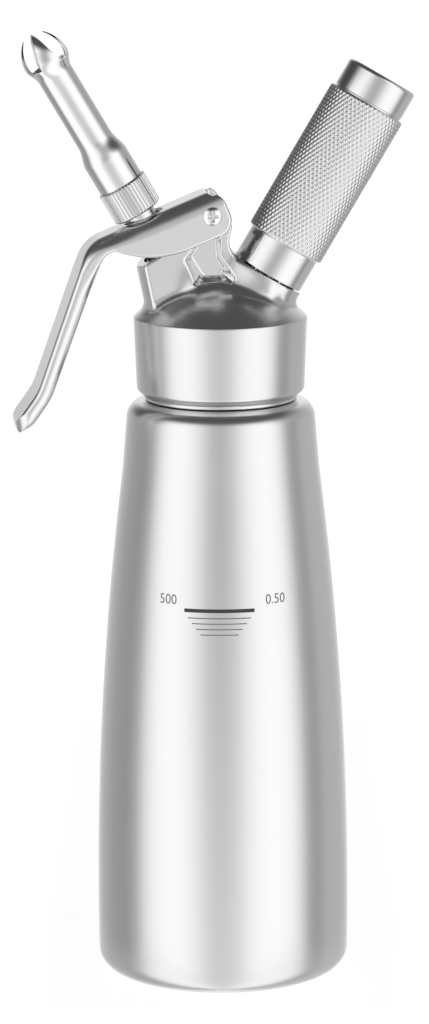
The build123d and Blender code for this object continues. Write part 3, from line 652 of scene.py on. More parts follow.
def castingOutline():
    # side view of the valve boss and the lever post, run on past the front, which is cut separately
    h = head
    foot = h["ceiling"] + 0.6
    left = onAxis("valve", -h["bossHalf"] - 8, -h["bossDrop"])
    right = onAxis("valve", h["bossHalf"], -h["bossDrop"])
    away = np.array([right[0] - pivot[0], right[1] - pivot[1]])
    reach = np.linalg.norm(away)
    r = h["postRadius"]
    square = np.array([away[1], -away[0]]) * (r * sqrt(reach ** 2 - r ** 2) / reach ** 2)
    tangent = away * (r / reach) ** 2 + square
    start = degrees(atan2(tangent[1], tangent[0]))
    crown = [fromPivot((r * cos(radians(a)), r * sin(radians(a)))) for a in np.linspace(start, 10, 14)]
    shoulder = onAxis("charger", -h["flange"], -2 * h["gap"])
    inside = onAxis("charger", 0, -h["flangeThick"] - 2 * h["gap"])
    back = [fromPivot(p) for p in h["back"]]
    ends = [shoulder, inside, (inside[0], foot)]
    return rounded([(left[0], foot), left, (*right, 0.9)] + crown + back + ends)


def castingFront(z):
    # how far out the casting's leaning front lies at a height
    corner = onAxis("valve", -head["bossHalf"], -head["bossDrop"])
    return corner[0] - head["frontShift"] + (corner[1] - z) * tan(radians(head["lean"]))


castingLine = castingOutline()
mouthLine = rounded([(*fromPivot(p), 0.8) for p in head["mouth"]])
floorLine = rounded([(*fromPivot(p), 0.5) for p in head["floor"]])
boss, flange = head["boss"], head["flange"]
bossLine = rounded([(0, head["bossFoot"]), (boss, head["bossFoot"]), (boss, head["bossWaist"], 12.0),
                    (flange, head["flangeFoot"], 4.0), (flange, -head["gap"], 0.35), (0, -head["gap"])])
domeCentre = head["rim"] - sqrt(head["dome"] ** 2 - head["rimRadius"] ** 2)
domeArc = [(head["dome"] * sin(a), domeCentre + head["dome"] * cos(a))
           for a in np.linspace(asin(head["rimRadius"] / head["dome"]), 0, 16)][1:]
shellLine = rounded([
    (head["bore"], head["ceiling"]), (head["bore"], head["collarFoot"]),
    (head["footRing"], head["collarFoot"], 0.2), (head["footRing"], head["chamferFoot"], 0.4),
    (head["footRadius"], head["chamferTop"], 1.2), (head["rimRadius"], head["rim"], 0.9),
] + domeArc + [(0, head["ceiling"])])


def rodField(across, y, along, radius, low, high, edge):
    # a round bar on a tilted axis
    side = np.sqrt(across ** 2 + y ** 2) - radius
    ends = np.maximum(low - along, along - high)
    return meet(side, ends, edge)


def pivotRod(x, z, radius):
    return np.sqrt((x - pivot[0]) ** 2 + (z - pivot[1]) ** 2) - radius


def headField(x, y, z):
    h = head
    reach = np.sqrt(x ** 2 + y ** 2)
    shell = polygonField(shellLine, reach, z)
    share = np.clip((h["flareTop"] - z) / h["flareRun"], 0, 1.1)
    share = share * smooth(x, h["flareFoot"] - 10, h["flareFoot"])
    half = h["half"] + h["flare"] * share ** 2
    # the front bows between the two flanks, which it meets in a crease
    front = (castingFront(z) + y ** 2 / (2 * h["bow"]) - x) * cos(radians(h["lean"]))
    casting = meet(meet(front, np.abs(y) - half, h["edge"]), polygonField(castingLine, x, z), 0.7)
    va, vs = localAxis("valve", x, z)
    ca, cs = localAxis("charger", x, z)
    boss = polygonField(bossLine, np.sqrt(ca ** 2 + y ** 2), cs)
    body = join(join(casting, boss, h["bossFillet"]), shell, h["domeFillet"])
    # the fillets stop at the seat of the charger holder
    body = np.maximum(body, -rodField(ca, y, cs, h["flange"] + 0.7, -h["gap"], 30, 0.1))
    # the hollow under the dome, with the bosses that reach down into it
    dome = np.sqrt(reach ** 2 + (z - domeCentre) ** 2)
    cavity = meet(reach - h["cavity"], dome - (h["dome"] - h["wall"]), 0.6)
    cavity = meet(cavity, h["ceiling"] - h["wall"] - z, 0.3)
    body = meet(body, -cavity, 0.4)
    under = np.maximum(reach - h["bore"], z - h["ceiling"])
    body = np.maximum(body, -under)
    guide = rodField(va, y, vs, h["innerBoss"], h["seat"], h["chamberFloor"] + 4, 0.4)
    body = np.minimum(body, np.maximum(guide, dome - (h["dome"] - h["wall"] / 2)))
    body = np.minimum(body, rodField(ca, y, cs, h["inletBoss"], h["inletFoot"], -h["gap"], 0.3))
    spigot = rodField(ca, y, cs, h["spigot"] - h["relief"], -2.0, h["spigotTop"], 0.4)
    body = np.minimum(body, spigot)
    # the recess in each side of the post narrows from its mouth to its floor
    depth = np.clip((h["half"] - np.abs(y)) / h["pocketDepth"], -0.5, 1)
    sink = (1 - depth) * polygonField(mouthLine, x, z) + depth * polygonField(floorLine, x, z)
    sink = meet(sink * 0.75, h["half"] - h["pocketDepth"] - np.abs(y), 0.25)
    body = meet(body, -sink, 0.35)
    # bores
    body = meet(body, -rodField(va, y, vs, h["chamber"], h["chamberFloor"], 10, 0.2), 0.35)
    stem = rodField(va, y, vs, h["stemBore"], h["sealFoot"] - 6, h["chamberFloor"] + 2, 0.1)
    seal = rodField(va, y, vs, h["sealBore"], h["sealFoot"], h["seat"], 0.1)
    body = np.maximum(body, -np.minimum(stem, seal))
    body = meet(body, -rodField(ca, y, cs, h["capsuleBore"], h["inletTop"], 14, 0.1), 0.3)
    inlet = rodField(ca, y, cs, h["inletRadius"], h["inletFoot"] - 3, h["inletTop"] + 1, 0.1)
    return np.maximum(body, -np.minimum(inlet, pivotRod(x, z, h["pinRadius"])))


headMesh = fieldMesh("head_casting", headField, (-28.6, -28.6, 184.0), (29.8, 28.6, 250.6),
                     0.5)
addPiece("head_casting", headMesh, "head", headSteel, ["head_body"])
addThread("spigot_thread", "head", buffedSteel, axisMatrix("charger"))
print("head done")


springs = {
    "valve_spring_wire": {
        "node": "valve_spring", "axis": "valve", "joint": "valve_travel", "travel": 4.2,
        "sizes": {"Radius": 5.4, "Wire": 0.45, "Foot": -25.95, "Height": 18.3, "Turns": 6.0}},
    "check_spring_wire": {
        "node": "check_spring", "axis": "charger", "joint": "check_lift", "travel": 1.0,
        "sizes": {"Radius": 1.20, "Wire": 0.18, "Foot": -9.98, "Height": 2.95, "Turns": 4.0}},
}


def springTree():
    # round wire wound up from the foot
    tree, size = newTree("coilSpring", springs["valve_spring_wire"]["sizes"])
    ends = addNode(tree, "ShaderNodeMath", (size["Wire"], 2.0), operation="MULTIPLY")
    climb = addNode(tree, "ShaderNodeMath", (size["Height"], ends), operation="SUBTRACT")
    start = addNode(tree, "ShaderNodeMath", (size["Foot"], size["Wire"]), operation="ADD")
    coil = addNode(tree, "GeometryNodeCurveSpiral", {
        "Resolution": 28, "Rotations": size["Turns"], "Start Radius": size["Radius"],
        "End Radius": size["Radius"], "Height": climb})
    section = addNode(tree, "GeometryNodeCurvePrimitiveCircle", {"Resolution": 12, "Radius": size["Wire"]})
    wire = addNode(tree, "GeometryNodeCurveToMesh", {
        "Curve": coil, "Profile Curve": section, "Fill Caps": True})
    up = addNode(tree, "ShaderNodeCombineXYZ", (0.0, 0.0, start))
    placed = addNode(tree, "GeometryNodeSetPosition", {"Geometry": wire, "Offset": up})
    return closeTree(tree, size, placed)


coilSpring = springTree()
for name, spring in springs.items():
    sizes = spring["sizes"]
    place = axisMatrix(spring["axis"])
    piece = addGrown(name, coilSpring, sizes, "head", springSteel, place, sharpAngle=40,
                     recalculate=True, replaced=[spring["node"]])
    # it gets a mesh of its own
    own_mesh(piece)
print("springs done")


lever = {
    "slope": 22.0, "rise": 7.0, "under": 6.9, "nose": 5.4, "noseRadius": 5.2, "half": 10.0, "plate": 2.2,
    "cheek": 2.0, "handleCheek": 3.8, "handle": 5.1, "handleEnd": 2.5, "plateEnd": 1.8,
    "bendAlong": -38.9, "bendRadius": 11.5, "flareCorner": (-55.2, -54.4), "flareRadius": 18.0,
    "toeCorner": (-61.9, -63.6), "toeRadius": 1.8, "toeTip": (-61.3, -67.4), "tipRadius": 0.8,
    "toeHeel": (-56.6, -65.1), "toeHeelRadius": 8.0, "cheekStart": (-6.6, -10.2),
    "cheekLowest": (-17.0, -12.6), "cheekHeel": (-30.4, -10.4), "cheekBlend": (-33.4, -11.8),
    "cheekFoot": (-35.1, -14.6), "slot": 12.6, "slotShift": 0.6, "slotHalf": 5.35, "innerEdge": 1.6,
    "hole": 2.05, "edge": 0.9, "topEdge": 5.4, "frontEdge": 1.7, "backEdge": 3.4, "toeRound": 5.0,
    # the edges change over these depths below the pivot at the back, and along the bend at the top
    "backFrom": 11, "backTo": 24, "bendFrom": 8, "bendTo": -26,
}


def alongLever(along, rise):
    slope = radians(lever["slope"])
    return fromPivot((along * cos(slope) - rise * sin(slope), along * sin(slope) + rise * cos(slope)))


def besides(points, distance):
    # the corners of the path that runs beside the given one, on its right-hand side
    shifted = []
    for i, here in enumerate(points):
        sides = []
        for a, b in ((i - 1, i), (i, i + 1)):
            if a >= 0 and b < len(points):
                way = np.subtract(points[b], points[a])
                way = way / np.linalg.norm(way)
                sides.append(np.array([way[1], -way[0]]))
        middle = sum(sides) / np.linalg.norm(sum(sides))
        shifted.append(tuple(np.array(here) + middle * distance / (middle @ sides[0])))
    return shifted


def arcThrough(a, b, c, count=14):
    # points on the circle through three points, from a to c
    ax, ay, bx, by, cx, cy = *a, *b, *c
    double = 2 * (ax * (by - cy) + bx * (cy - ay) + cx * (ay - by))
    fromA, fromB, fromC = ax ** 2 + ay ** 2, bx ** 2 + by ** 2, cx ** 2 + cy ** 2
    ux = (fromA * (by - cy) + fromB * (cy - ay) + fromC * (ay - by)) / double
    uy = (fromA * (cx - bx) + fromB * (ax - cx) + fromC * (bx - ax)) / double
    radius = hypot(ax - ux, ay - uy)
    start = atan2(ay - uy, ax - ux)
    toMiddle = (atan2(by - uy, bx - ux) - start) % (2 * pi)
    toEnd = (atan2(cy - uy, cx - ux) - start) % (2 * pi)
    sweep = toEnd if toMiddle < toEnd else toEnd - 2 * pi
    return [(ux + radius * cos(start + sweep * k / count), uy + radius * sin(start + sweep * k / count))
            for k in range(count + 1)]


noseFoot = lever["nose"] - lever["noseRadius"]
leverTop = [alongLever(along, lever["rise"]) for along in (noseFoot, lever["bendAlong"])]
leverTop += [fromPivot(lever[key]) for key in ("flareCorner", "toeCorner")]
leverLow = besides(leverTop, -lever["handle"])


def cheekLine():
    # the lower edge of the cheeks, from the handle forward to the nose
    foot, blend, heel, lowest, start = (fromPivot(lever["cheek" + k])
                                        for k in ("Foot", "Blend", "Heel", "Lowest", "Start"))
    return arcThrough(foot, blend, heel) + arcThrough(heel, lowest, start)[1:]


def leverOutline():
    # side view: nose, fork, bend, handle, the toe's blunt end, and back along the cheeks
    v, top, low = lever, leverTop, leverLow
    return rounded([
        (*alongLever(v["nose"], -v["under"]), v["noseRadius"]),
        (*alongLever(v["nose"], v["rise"]), v["noseRadius"]),
        (*top[1], v["bendRadius"]), (*top[2], v["flareRadius"]), (*top[3], v["toeRadius"]),
        (*fromPivot(v["toeTip"]), v["tipRadius"]), (*fromPivot(v["toeHeel"]), v["toeHeelRadius"]),
        (*low[2], v["flareRadius"] + v["handle"]),
    ] + cheekLine(), step=5.0)


def leverTopSide():
    # everything under the top line, which runs on past the nose and the toe
    v, top = lever, leverTop
    past = np.array(top[3]) + np.subtract(top[3], top[2])
    return rounded([
        alongLever(v["nose"] + 12, v["rise"]), (*top[1], v["bendRadius"]), (*top[2], v["flareRadius"]),
        tuple(past), (pivot[0] + 30, past[1])], step=5.0)


def leverBackSide():
    # everything over the lower line, with room past the nose, the top and the toe
    v, low = lever, leverLow
    tip, toeHeel = np.array(fromPivot(v["toeTip"])), np.array(fromPivot(v["toeHeel"]))
    past = tip + (tip - toeHeel)
    return rounded([
        tuple(past), (*toeHeel, v["toeHeelRadius"]), (*low[2], v["flareRadius"] + v["handle"]),
    ] + cheekLine() + [
        alongLever(v["nose"] + 12, -v["under"]), alongLever(v["nose"] + 12, v["rise"] + 8),
        alongLever(v["bendAlong"] - 6, v["rise"] + 8), (past[0] - 8, past[1]),
    ], step=5.0)


def leverHollow():
    v = lever
    skin = besides(leverTop, -v["plate"])
    reach = np.subtract(skin[3], skin[2])
    end = tuple(np.array(skin[2]) + reach * (1 - v["handleEnd"] / np.linalg.norm(reach)))
    clear = v["rise"] + 2 * v["nose"]
    return rounded([
        alongLever(v["plateEnd"], v["rise"] - v["plate"]), (*skin[1], v["bendRadius"] - v["plate"]),
        (*skin[2], v["flareRadius"] + v["plate"]), end, (pivot[0] + clear, end[1]), alongLever(2 * clear, 0),
        alongLever(clear, clear), alongLever(v["plateEnd"], clear),
    ])


leverLine = leverOutline()
topLine = leverTopSide()
backLine = leverBackSide()
hollowLine = leverHollow()


def beyondLine(a, b, x, z):
    # how far a point lies out of the metal, past the line from a to b
    way = np.subtract(b, a) / np.linalg.norm(np.subtract(b, a))
    return (x - a[0]) * way[1] - (z - a[1]) * way[0]


def leverField(x, y, z):
    v = lever
    # the outer edges: wide along the fork's top and narrow under it, and down the handle narrow in
    # front and nearly half-round behind
    side = np.abs(y) - v["half"]
    down = smooth(z, pivot[1] - v["backFrom"], pivot[1] - v["backTo"])
    bend = [alongLever(v["bendAlong"] + v[key], v["rise"])[1] for key in ("bendFrom", "bendTo")]
    top = v["topEdge"] + (v["frontEdge"] - v["topEdge"]) * smooth(z, *bend)
    back = v["edge"] + (v["backEdge"] - v["edge"]) * down
    cheek = v["cheek"] + (v["handleCheek"] - v["cheek"]) * down
    body = meet(polygonField(leverLine, x, z), side, v["edge"])
    body = np.maximum(body, meet(polygonField(topLine, x, z), side, top))
    body = np.maximum(body, meet(polygonField(backLine, x, z), side, back))
    toe = beyondLine(leverTop[3], fromPivot(v["toeTip"]), x, z)
    body = np.maximum(body, meet(toe, side, v["toeRound"]))
    hollow = meet(polygonField(hollowLine, x, z), np.abs(y) - (v["half"] - cheek), v["innerEdge"])
    body = meet(body, -hollow, 0.4)
    va, vs = localAxis("valve", x, z)
    reach = v["slot"] / 2 - v["slotHalf"]
    slot = np.sqrt(np.maximum(np.abs(va - v["slotShift"]) - reach, 0) ** 2 + y ** 2) - v["slotHalf"]
    slot = np.maximum(slot, np.abs(vs) - v["rise"])
    body = meet(body, -slot, 0.4)
    return meet(body, -pivotRod(x, z, v["hole"]), 0.15)


leverMesh = fieldMesh("squeeze_lever", leverField, (-67.9, -10.8, 174.8), (4.6, 10.8, 253.0),
                      0.4)
addPiece("squeeze_lever", leverMesh, "lever_arm", castSteel, ["lever"])
print("lever done")

screw = {
    "radius": 2.9, "rimRise": 0.33, "crown": 1.3, "seat": 10.1, "recess": 0.42, "reach": 1.65, "depth": 1.5,
    # how wide the walls of the cross slope, how far they stand out over the face, and how much the
    # cross gets shallower towards its ends
    "wall": 0.22, "lip": 0.35, "shallow": 0.35,
}


def screwHead():
    # a pan head on a square grid bent to a disc, pressed down where the driver goes
    size = 56
    radius = screw["radius"]
    swell = screw["crown"] - screw["rimRise"]
    dome = (radius ** 2 + swell ** 2) / (2 * swell)
    points, faces = [], []
    for i in range(size + 1):
        for j in range(size + 1):
            u, v = 2 * i / size - 1, 2 * j / size - 1
            x = u * sqrt(1 - v * v / 2) * radius
            y = v * sqrt(1 - u * u / 2) * radius
            height = screw["crown"] - dome + sqrt(dome ** 2 - x * x - y * y)
            # the cross narrows towards its ends and its floor
            wing = max(min(screw["recess"] - abs(x), screw["reach"] - abs(y)),
                       min(screw["recess"] - abs(y), screw["reach"] - abs(x)))
            deep = min(1, max(0, wing / screw["wall"] + screw["lip"]))
            height -= screw["depth"] * deep * (1 - screw["shallow"] * hypot(x, y) / screw["reach"])
            points.append((x, y, screw["seat"] + height))
            if i < size and j < size:
                a = i * (size + 1) + j
                faces.append((a, a + size + 1, a + size + 2, a + 1))
    base = len(points)
    rim = []
    for k in range(4 * size):
        side, t = divmod(k, size)
        i, j = [(t, 0), (size, t), (size - t, size), (0, size - t)][side]
        rim.append(i * (size + 1) + j)
    for a in rim:
        points.append((points[a][0], points[a][1], screw["seat"]))
    for k in range(len(rim)):
        n = (k + 1) % len(rim)
        faces.append((rim[k], base + k, base + n, rim[n]))
    faces.append(tuple(base + k for k in reversed(range(len(rim)))))
    place = Matrix.Translation((pivot[0], 0, pivot[1])) @ Matrix.Rotation(radians(90), 4, "X")
    return builtMesh("screw_head", points, faces, place, sharpAngle=40)


addPiece("pivot_screw_head", screwHead(), "head", mirrorSteel, ["pivot_screw"])

nozzle = {
    "skirt": 6.7, "skirtFoot": 7.2, "nutTop": 10.5, "base": 7.3, "baseTop": 19.5, "tube": 5.8,
    "taperTop": 26.5, "bulbFoot": 50.2, "bulb": 7.47, "bulbHeight": 55.5, "tip": 2.95, "length": 64.3,
    "wall": 0.9, "tipWall": 0.3, "slotFloor": 53.8, "slotFoot": 2.1, "slotMiddle": 3.15, "slotTip": 2.06,
    "skirtWall": 0.9, "skirtRise": 0.2,
}


def prongRadius(start, end, height):
    # radius on the arc that leaves the start upright and bends in to the end
    inward, rise = start[0] - end[0], end[1] - start[1]
    radius = (inward ** 2 + rise ** 2) / (2 * inward)
    return start[0] - radius + sqrt(max(0, radius ** 2 - (height - start[1]) ** 2))


def nozzleRadii(height):
    # outer and inner radius of the tube and tulip at a height
    n = nozzle
    if height >= n["bulbHeight"]:
        outer = prongRadius((n["bulb"], n["bulbHeight"]), (n["tip"], n["length"]), height)
        foot, tip = (n["bulb"] - n["wall"], n["bulbHeight"]), (n["tip"] - n["tipWall"], n["length"])
        return outer, prongRadius(foot, tip, height)
    taper = float(smooth(height, n["baseTop"], n["taperTop"]))
    swell = float(smooth(height, n["bulbFoot"], n["bulbHeight"]))
    outer = n["base"] + (n["tube"] - n["base"]) * taper + (n["bulb"] - n["tube"]) * swell
    return outer, outer - n["wall"]


def slotHalf(height):
    # half the width of the gap between two prongs, a shallow arc from floor to tip
    n = nozzle
    s = (height - n["slotFloor"]) / (n["length"] - n["slotFloor"])
    ends = n["slotFoot"] * (1 - s) * (1 - 2 * s) + n["slotTip"] * s * (2 * s - 1)
    return ends + 4 * n["slotMiddle"] * s * (1 - s)


def nozzleMesh():
    n = nozzle
    plain = [10.6, 14.0] + list(np.linspace(n["baseTop"], n["taperTop"], 15)) + [34.0, 42.0]
    plain += list(np.linspace(n["bulbFoot"], n["slotFloor"], 8))
    prongs = list(np.linspace(n["slotFloor"], n["length"], 26))[1:]
    across, gap = 16, 8
    points, faces = [], []

    def ringAt(height, layer):
        # one row of points: four prongs, and the four gaps while the tube is whole
        radius = nozzleRadii(height)[layer]
        whole = height <= n["slotFloor"] + 1e-6
        width = slotHalf(max(height, n["slotFloor"]))
        edge = pi / 4 - asin(min(0.999, width / nozzleRadii(max(height, n["slotFloor"]))[layer]))
        edge = max(edge, 0.012)
        rows = []
        for prong in range(4):
            centre = prong * pi / 2
            between = pi / 2 - 2 * edge
            rows.append([centre + edge * (2 * k / across - 1) for k in range(across + 1)])
            rows.append([centre + edge + between * k / gap for k in range(1, gap)] if whole else [])
        numbers = []
        for row in rows:
            numbers.append(list(range(len(points), len(points) + len(row))))
            points.extend((radius * cos(a), radius * sin(a), height) for a in row)
        return numbers

    def closedRing(numbers):
        return [k for row in numbers for k in row]

    def bridge(a, b, closed=False, flip=False):
        # a strip of faces between two rows of points
        for k in range(len(a) if closed else len(a) - 1):
            m = (k + 1) % len(a)
            face = (a[k], a[m], b[m], b[k])
            faces.append(face[:1] + face[:0:-1] if flip else face)

    layers = []
    for layer in (0, 1):
        rings = [ringAt(h, layer) for h in plain]
        for a, b in zip(rings, rings[1:]):
            bridge(closedRing(a), closedRing(b), closed=True, flip=layer == 1)
        uppers = [rings[-1]] + [ringAt(h, layer) for h in prongs]
        for a, b in zip(uppers, uppers[1:]):
            for prong in range(0, 8, 2):
                bridge(a[prong], b[prong], flip=layer == 1)
        layers.append((rings, uppers))
    (outRings, outUp), (inRings, inUp) = layers
    # walls between the two skins: foot of the tube, floors of the gaps, edges and tips of the prongs
    bridge(closedRing(outRings[0]), closedRing(inRings[0]), closed=True, flip=True)
    for prong in range(0, 8, 2):
        o, i = ([rows[prong][-1]] + rows[prong + 1] + [rows[(prong + 2) % 8][0]]
                for rows in (outRings[-1], inRings[-1]))
        bridge(o, i)
        for end in (0, -1):
            o, i = ([rows[prong][end] for rows in up] for up in (outUp, inUp))
            bridge(o, i, flip=end == -1)
        bridge(outUp[-1][prong], inUp[-1][prong])
    return builtMesh("tulip_nozzle", points, faces, axisMatrix("valve"), sharpAngle=40)


addPiece("tulip_nozzle", nozzleMesh(), "nozzle_unit", mirrorSteel, ["nozzle"])
skirt, skirtTop = nozzle["skirt"], nozzle["nutTop"] + nozzle["skirtRise"]
skirtInside = skirt - nozzle["skirtWall"]
skirtLine = [(skirt, nozzle["skirtFoot"]), (skirt, skirtTop), (skirtInside, skirtTop),
             (skirtInside, nozzle["skirtFoot"])]
addLathed("nozzle_skirt", skirtLine, "nozzle_unit", mirrorSteel, axisMatrix("valve"), 64)


nut = {
    "radius": 8.0, "core": 7.4, "height": 10.5, "ribs": 44, "thread": 5.07, "threadTop": 5.95, "socket": 6.7,
}
holder = {
    "band": 11.7, "bandTop": 10.7, "grip": 12.75, "gripTop": 61.6, "length": 71.4, "rim": 1.3,
    "thread": 10.07, "spigot": 9.0, "relief": 0.6, "bore": 9.35, "innerEnd": 68.26, "markRadius": 0.8,
    "markDepth": 0.5, "starts": 54, "core": 12.25, "groove": 11.45,
}
bands = {
    "nozzle_nut_ribs": {
        "Radius": nut["radius"], "Depth": 0.38, "Foot": 0.0, "Length": nut["height"], "Chamfer": 0.6,
        "Starts": nut["ribs"], "Lead": 1.0, "Crossed": 0.0, "Flat": 0.55,
        "Columns": nut["ribs"] * 10 + 1, "Rows": 36},
    "holder_knurl": {
        "Radius": holder["grip"], "Depth": 0.25, "Foot": holder["bandTop"],
        "Length": holder["gripTop"] - holder["bandTop"], "Chamfer": 0.55, "Starts": holder["starts"],
        "Lead": 2.57, "Crossed": 1.0, "Flat": 0.6, "Columns": holder["starts"] * 8 + 1, "Rows": 200},
}


def bandTree():
    # a band of metal bent round an axis: straight ribs, or two crossed families of grooves
    tree, size = newTree("patternedBand", bands["holder_knurl"])
    sheet = addNode(tree, "GeometryNodeMeshGrid", {
        "Size X": 1.0, "Size Y": 1.0, "Vertices X": size["Columns"], "Vertices Y": size["Rows"]})
    place = addNode(tree, "GeometryNodeInputPosition")
    column, row, _ = addNode(tree, "ShaderNodeSeparateXYZ", (place,)).outputs
    turn = addNode(tree, "ShaderNodeMath", (column, 0.5), operation="ADD")
    share = addNode(tree, "ShaderNodeMath", (row, 0.5), operation="ADD")
    along = addNode(tree, "ShaderNodeMath", (share, size["Length"]), operation="MULTIPLY")
    count = addNode(tree, "ShaderNodeMath", (turn, size["Starts"]), operation="MULTIPLY")
    twist = addNode(tree, "ShaderNodeMath", (along, size["Lead"]), operation="DIVIDE")
    lean = addNode(tree, "ShaderNodeMath", (twist, size["Crossed"]), operation="MULTIPLY")
    ridges = []
    for way in ("ADD", "SUBTRACT"):
        phase = addNode(tree, "ShaderNodeMath", (count, lean), operation=way)
        saw = addNode(tree, "ShaderNodeMath", (phase,), operation="FRACT")
        centred = addNode(tree, "ShaderNodeMath", (saw, 2.0, -1.0), operation="MULTIPLY_ADD")
        apart = addNode(tree, "ShaderNodeMath", (centred,), operation="ABSOLUTE")
        ridges.append(addNode(tree, "ShaderNodeMath", (1.0, apart), operation="SUBTRACT"))
    pyramid = addNode(tree, "ShaderNodeMath", ridges, operation="MINIMUM")
    raised = addNode(tree, "ShaderNodeMapRange", {
        "Value": pyramid, "From Min": 0.0, "From Max": size["Flat"], "To Min": -1.0, "To Max": 0.0})
    relief = addNode(tree, "ShaderNodeMath", (raised, size["Depth"]), operation="MULTIPLY")
    # both ends are chamfered, so the pattern runs out there
    rest = addNode(tree, "ShaderNodeMath", (size["Length"], along), operation="SUBTRACT")
    end = addNode(tree, "ShaderNodeMath", (along, rest), operation="MINIMUM")
    slope = addNode(tree, "ShaderNodeMath", (end, size["Chamfer"]), operation="SUBTRACT")
    level = addNode(tree, "ShaderNodeMath", (slope, relief), operation="MINIMUM")
    radius = addNode(tree, "ShaderNodeMath", (level, size["Radius"]), operation="ADD")
    angle = addNode(tree, "ShaderNodeMath", (turn, 2 * pi), operation="MULTIPLY")
    height = addNode(tree, "ShaderNodeMath", (along, size["Foot"]), operation="ADD")
    spot = roundAxis(tree, radius, angle, height)
    bend = addNode(tree, "GeometryNodeSetPosition", {"Geometry": sheet, "Position": spot})
    sewn = addNode(tree, "GeometryNodeMergeByDistance", {"Geometry": bend, "Distance": 0.001})
    return closeTree(tree, size, sewn)


patternedBand = bandTree()


valveAxis = axisMatrix("valve")
chargerAxis = axisMatrix("charger")
addGrown("nozzle_nut_ribs", patternedBand, bands["nozzle_nut_ribs"], "nozzle_unit", knurledSteel,
         valveAxis)
nutCore = rounded([
    (nut["thread"], 0.0), (nut["core"], 0.0), (nut["core"], nut["height"]),
    (nut["socket"], nut["height"]), (nut["socket"], nut["threadTop"]), (nut["thread"], nut["threadTop"])])
addLathed("nozzle_nut_core", nutCore, "nozzle_unit", knurledSteel, valveAxis, 96,
          ["nozzle_nut"])
core, groove, band = holder["core"], holder["groove"], holder["band"]
threadEnd = holder["spigot"] + holder["relief"]
holderLine = rounded([
    (holder["thread"], 0.0), (band, 0.0, 0.25), (band, holder["bandTop"] - 0.2, 0.15),
    (core, holder["bandTop"]), (core, holder["gripTop"]), (groove, holder["gripTop"] + 0.1, 0.1),
    (groove, holder["gripTop"] + 0.45, 0.1), (band, holder["gripTop"] + 0.6, 0.15),
    (band, holder["length"], holder["rim"]), (holder["markRadius"], holder["length"], 0.1),
    (0.0, holder["length"] - holder["markDepth"]), (0.0, holder["innerEnd"]),
    (holder["bore"], holder["innerEnd"], 0.5), (holder["bore"], threadEnd + holder["relief"]),
    (holder["thread"], threadEnd),
])
addLathed("holder_sleeve", holderLine, "holder", buffedSteel, chargerAxis, 160,
          ["charger_holder"])
addGrown("holder_knurl", patternedBand, bands["holder_knurl"], "holder", knurledSteel,
         chargerAxis, sharpAngle=60)
addThread("stem_thread", "valve", buffedSteel, valveAxis)
print("nozzle and holder done")


view = {
    "pan": -0.00146, "pitch": 0.19938, "roll": -0.004985, "swing": radians(-7.5),
    "spot": (-190.32, -1445.64, 442.62), "focal": 4696.88, "frameHeight": 1024, "sensor": 36.0, "far": 20.0,
}


def cameraAxes():
    pan, pitch, roll = view["pan"], view["pitch"], view["roll"]
    ahead = Vector((sin(pan) * cos(pitch), cos(pan) * cos(pitch), -sin(pitch)))
    right = ahead.cross(Vector((0, 0, 1))).normalized()
    up = right.cross(ahead)
    right, up = cos(roll) * right + sin(roll) * up, -sin(roll) * right + cos(roll) * up
    turn = Matrix.Rotation(view["swing"], 3, "Z")
    return turn @ right, turn @ up, turn @ ahead


right, up, ahead = cameraAxes()
camera = bpy.data.objects.new("camera", bpy.data.cameras.new("camera"))
scene.collection.objects.link(camera)
spot = Matrix.Translation(Vector(view["spot"]) * mm)
camera.matrix_world = spot @ Matrix((right, up, -ahead)).transposed().to_4x4()
camera.data.sensor_width = view["sensor"]
camera.data.lens = view["focal"] / view["frameHeight"] * view["sensor"]
camera.data.clip_end = view["far"]
scene.camera = camera

studio = {
    "bearing": -7.5,
    # brightness round the horizon, by the angle from the camera's side in degrees, left side negative
    "ring": [
        (-180, 1.06), (-168, 0.95), (-156, 0.62), (-140, 0.5), (-122, 0.4), (-100, 0.34), (-88, 0.46),
        (-76, 0.98), (-64, 1.24), (-50, 1.28), (-36, 1.18), (-24, 0.94), (-13, 0.62), (0, 0.52), (13, 0.68),
        (25, 1.02), (38, 1.22), (50, 1.28), (66, 1.24), (76, 0.96), (87, 0.42), (98, 0.36), (112, 0.54),
        (140, 0.54), (156, 0.66), (168, 0.96), (180, 1.06)],
    # the same higher up, past these heights in degrees: dark cloths to both sides
    "highRing": [
        (-180, 1.0), (-168, 0.8), (-156, 0.3), (-142, 0.1), (-118, 0.07), (-98, 0.09), (-84, 0.5),
        (-72, 1.1), (-50, 1.28), (-36, 1.18), (-24, 0.94), (-13, 0.62), (0, 0.52), (13, 0.68), (25, 1.02),
        (38, 1.22), (50, 1.28), (66, 1.2), (78, 0.8), (89, 0.5), (104, 0.42), (124, 0.44), (142, 0.5),
        (156, 0.66), (168, 0.9), (180, 1.0)],
    "highFrom": 2.0, "highTo": 22.0,
    # brightness overhead, which replaces the rings above these heights in degrees
    "overhead": 0.09, "fadeFrom": 24.0, "fadeTo": 50.0,
    # light that the table throws back towards the front, full at this many degrees below the horizon
    "bounce": 0.24, "bounceAt": -18.0, "bounceWidth": 60.0,
    # the sheet of paper under the bottle: half width, how far it comes forward and back, soft edge
    "paperHalf": 50.0, "paperFront": 46.0, "paperBack": 320.0, "paperEdge": 24.0, "paperGlow": 0.5,
    "paperBody": 0.22,
}


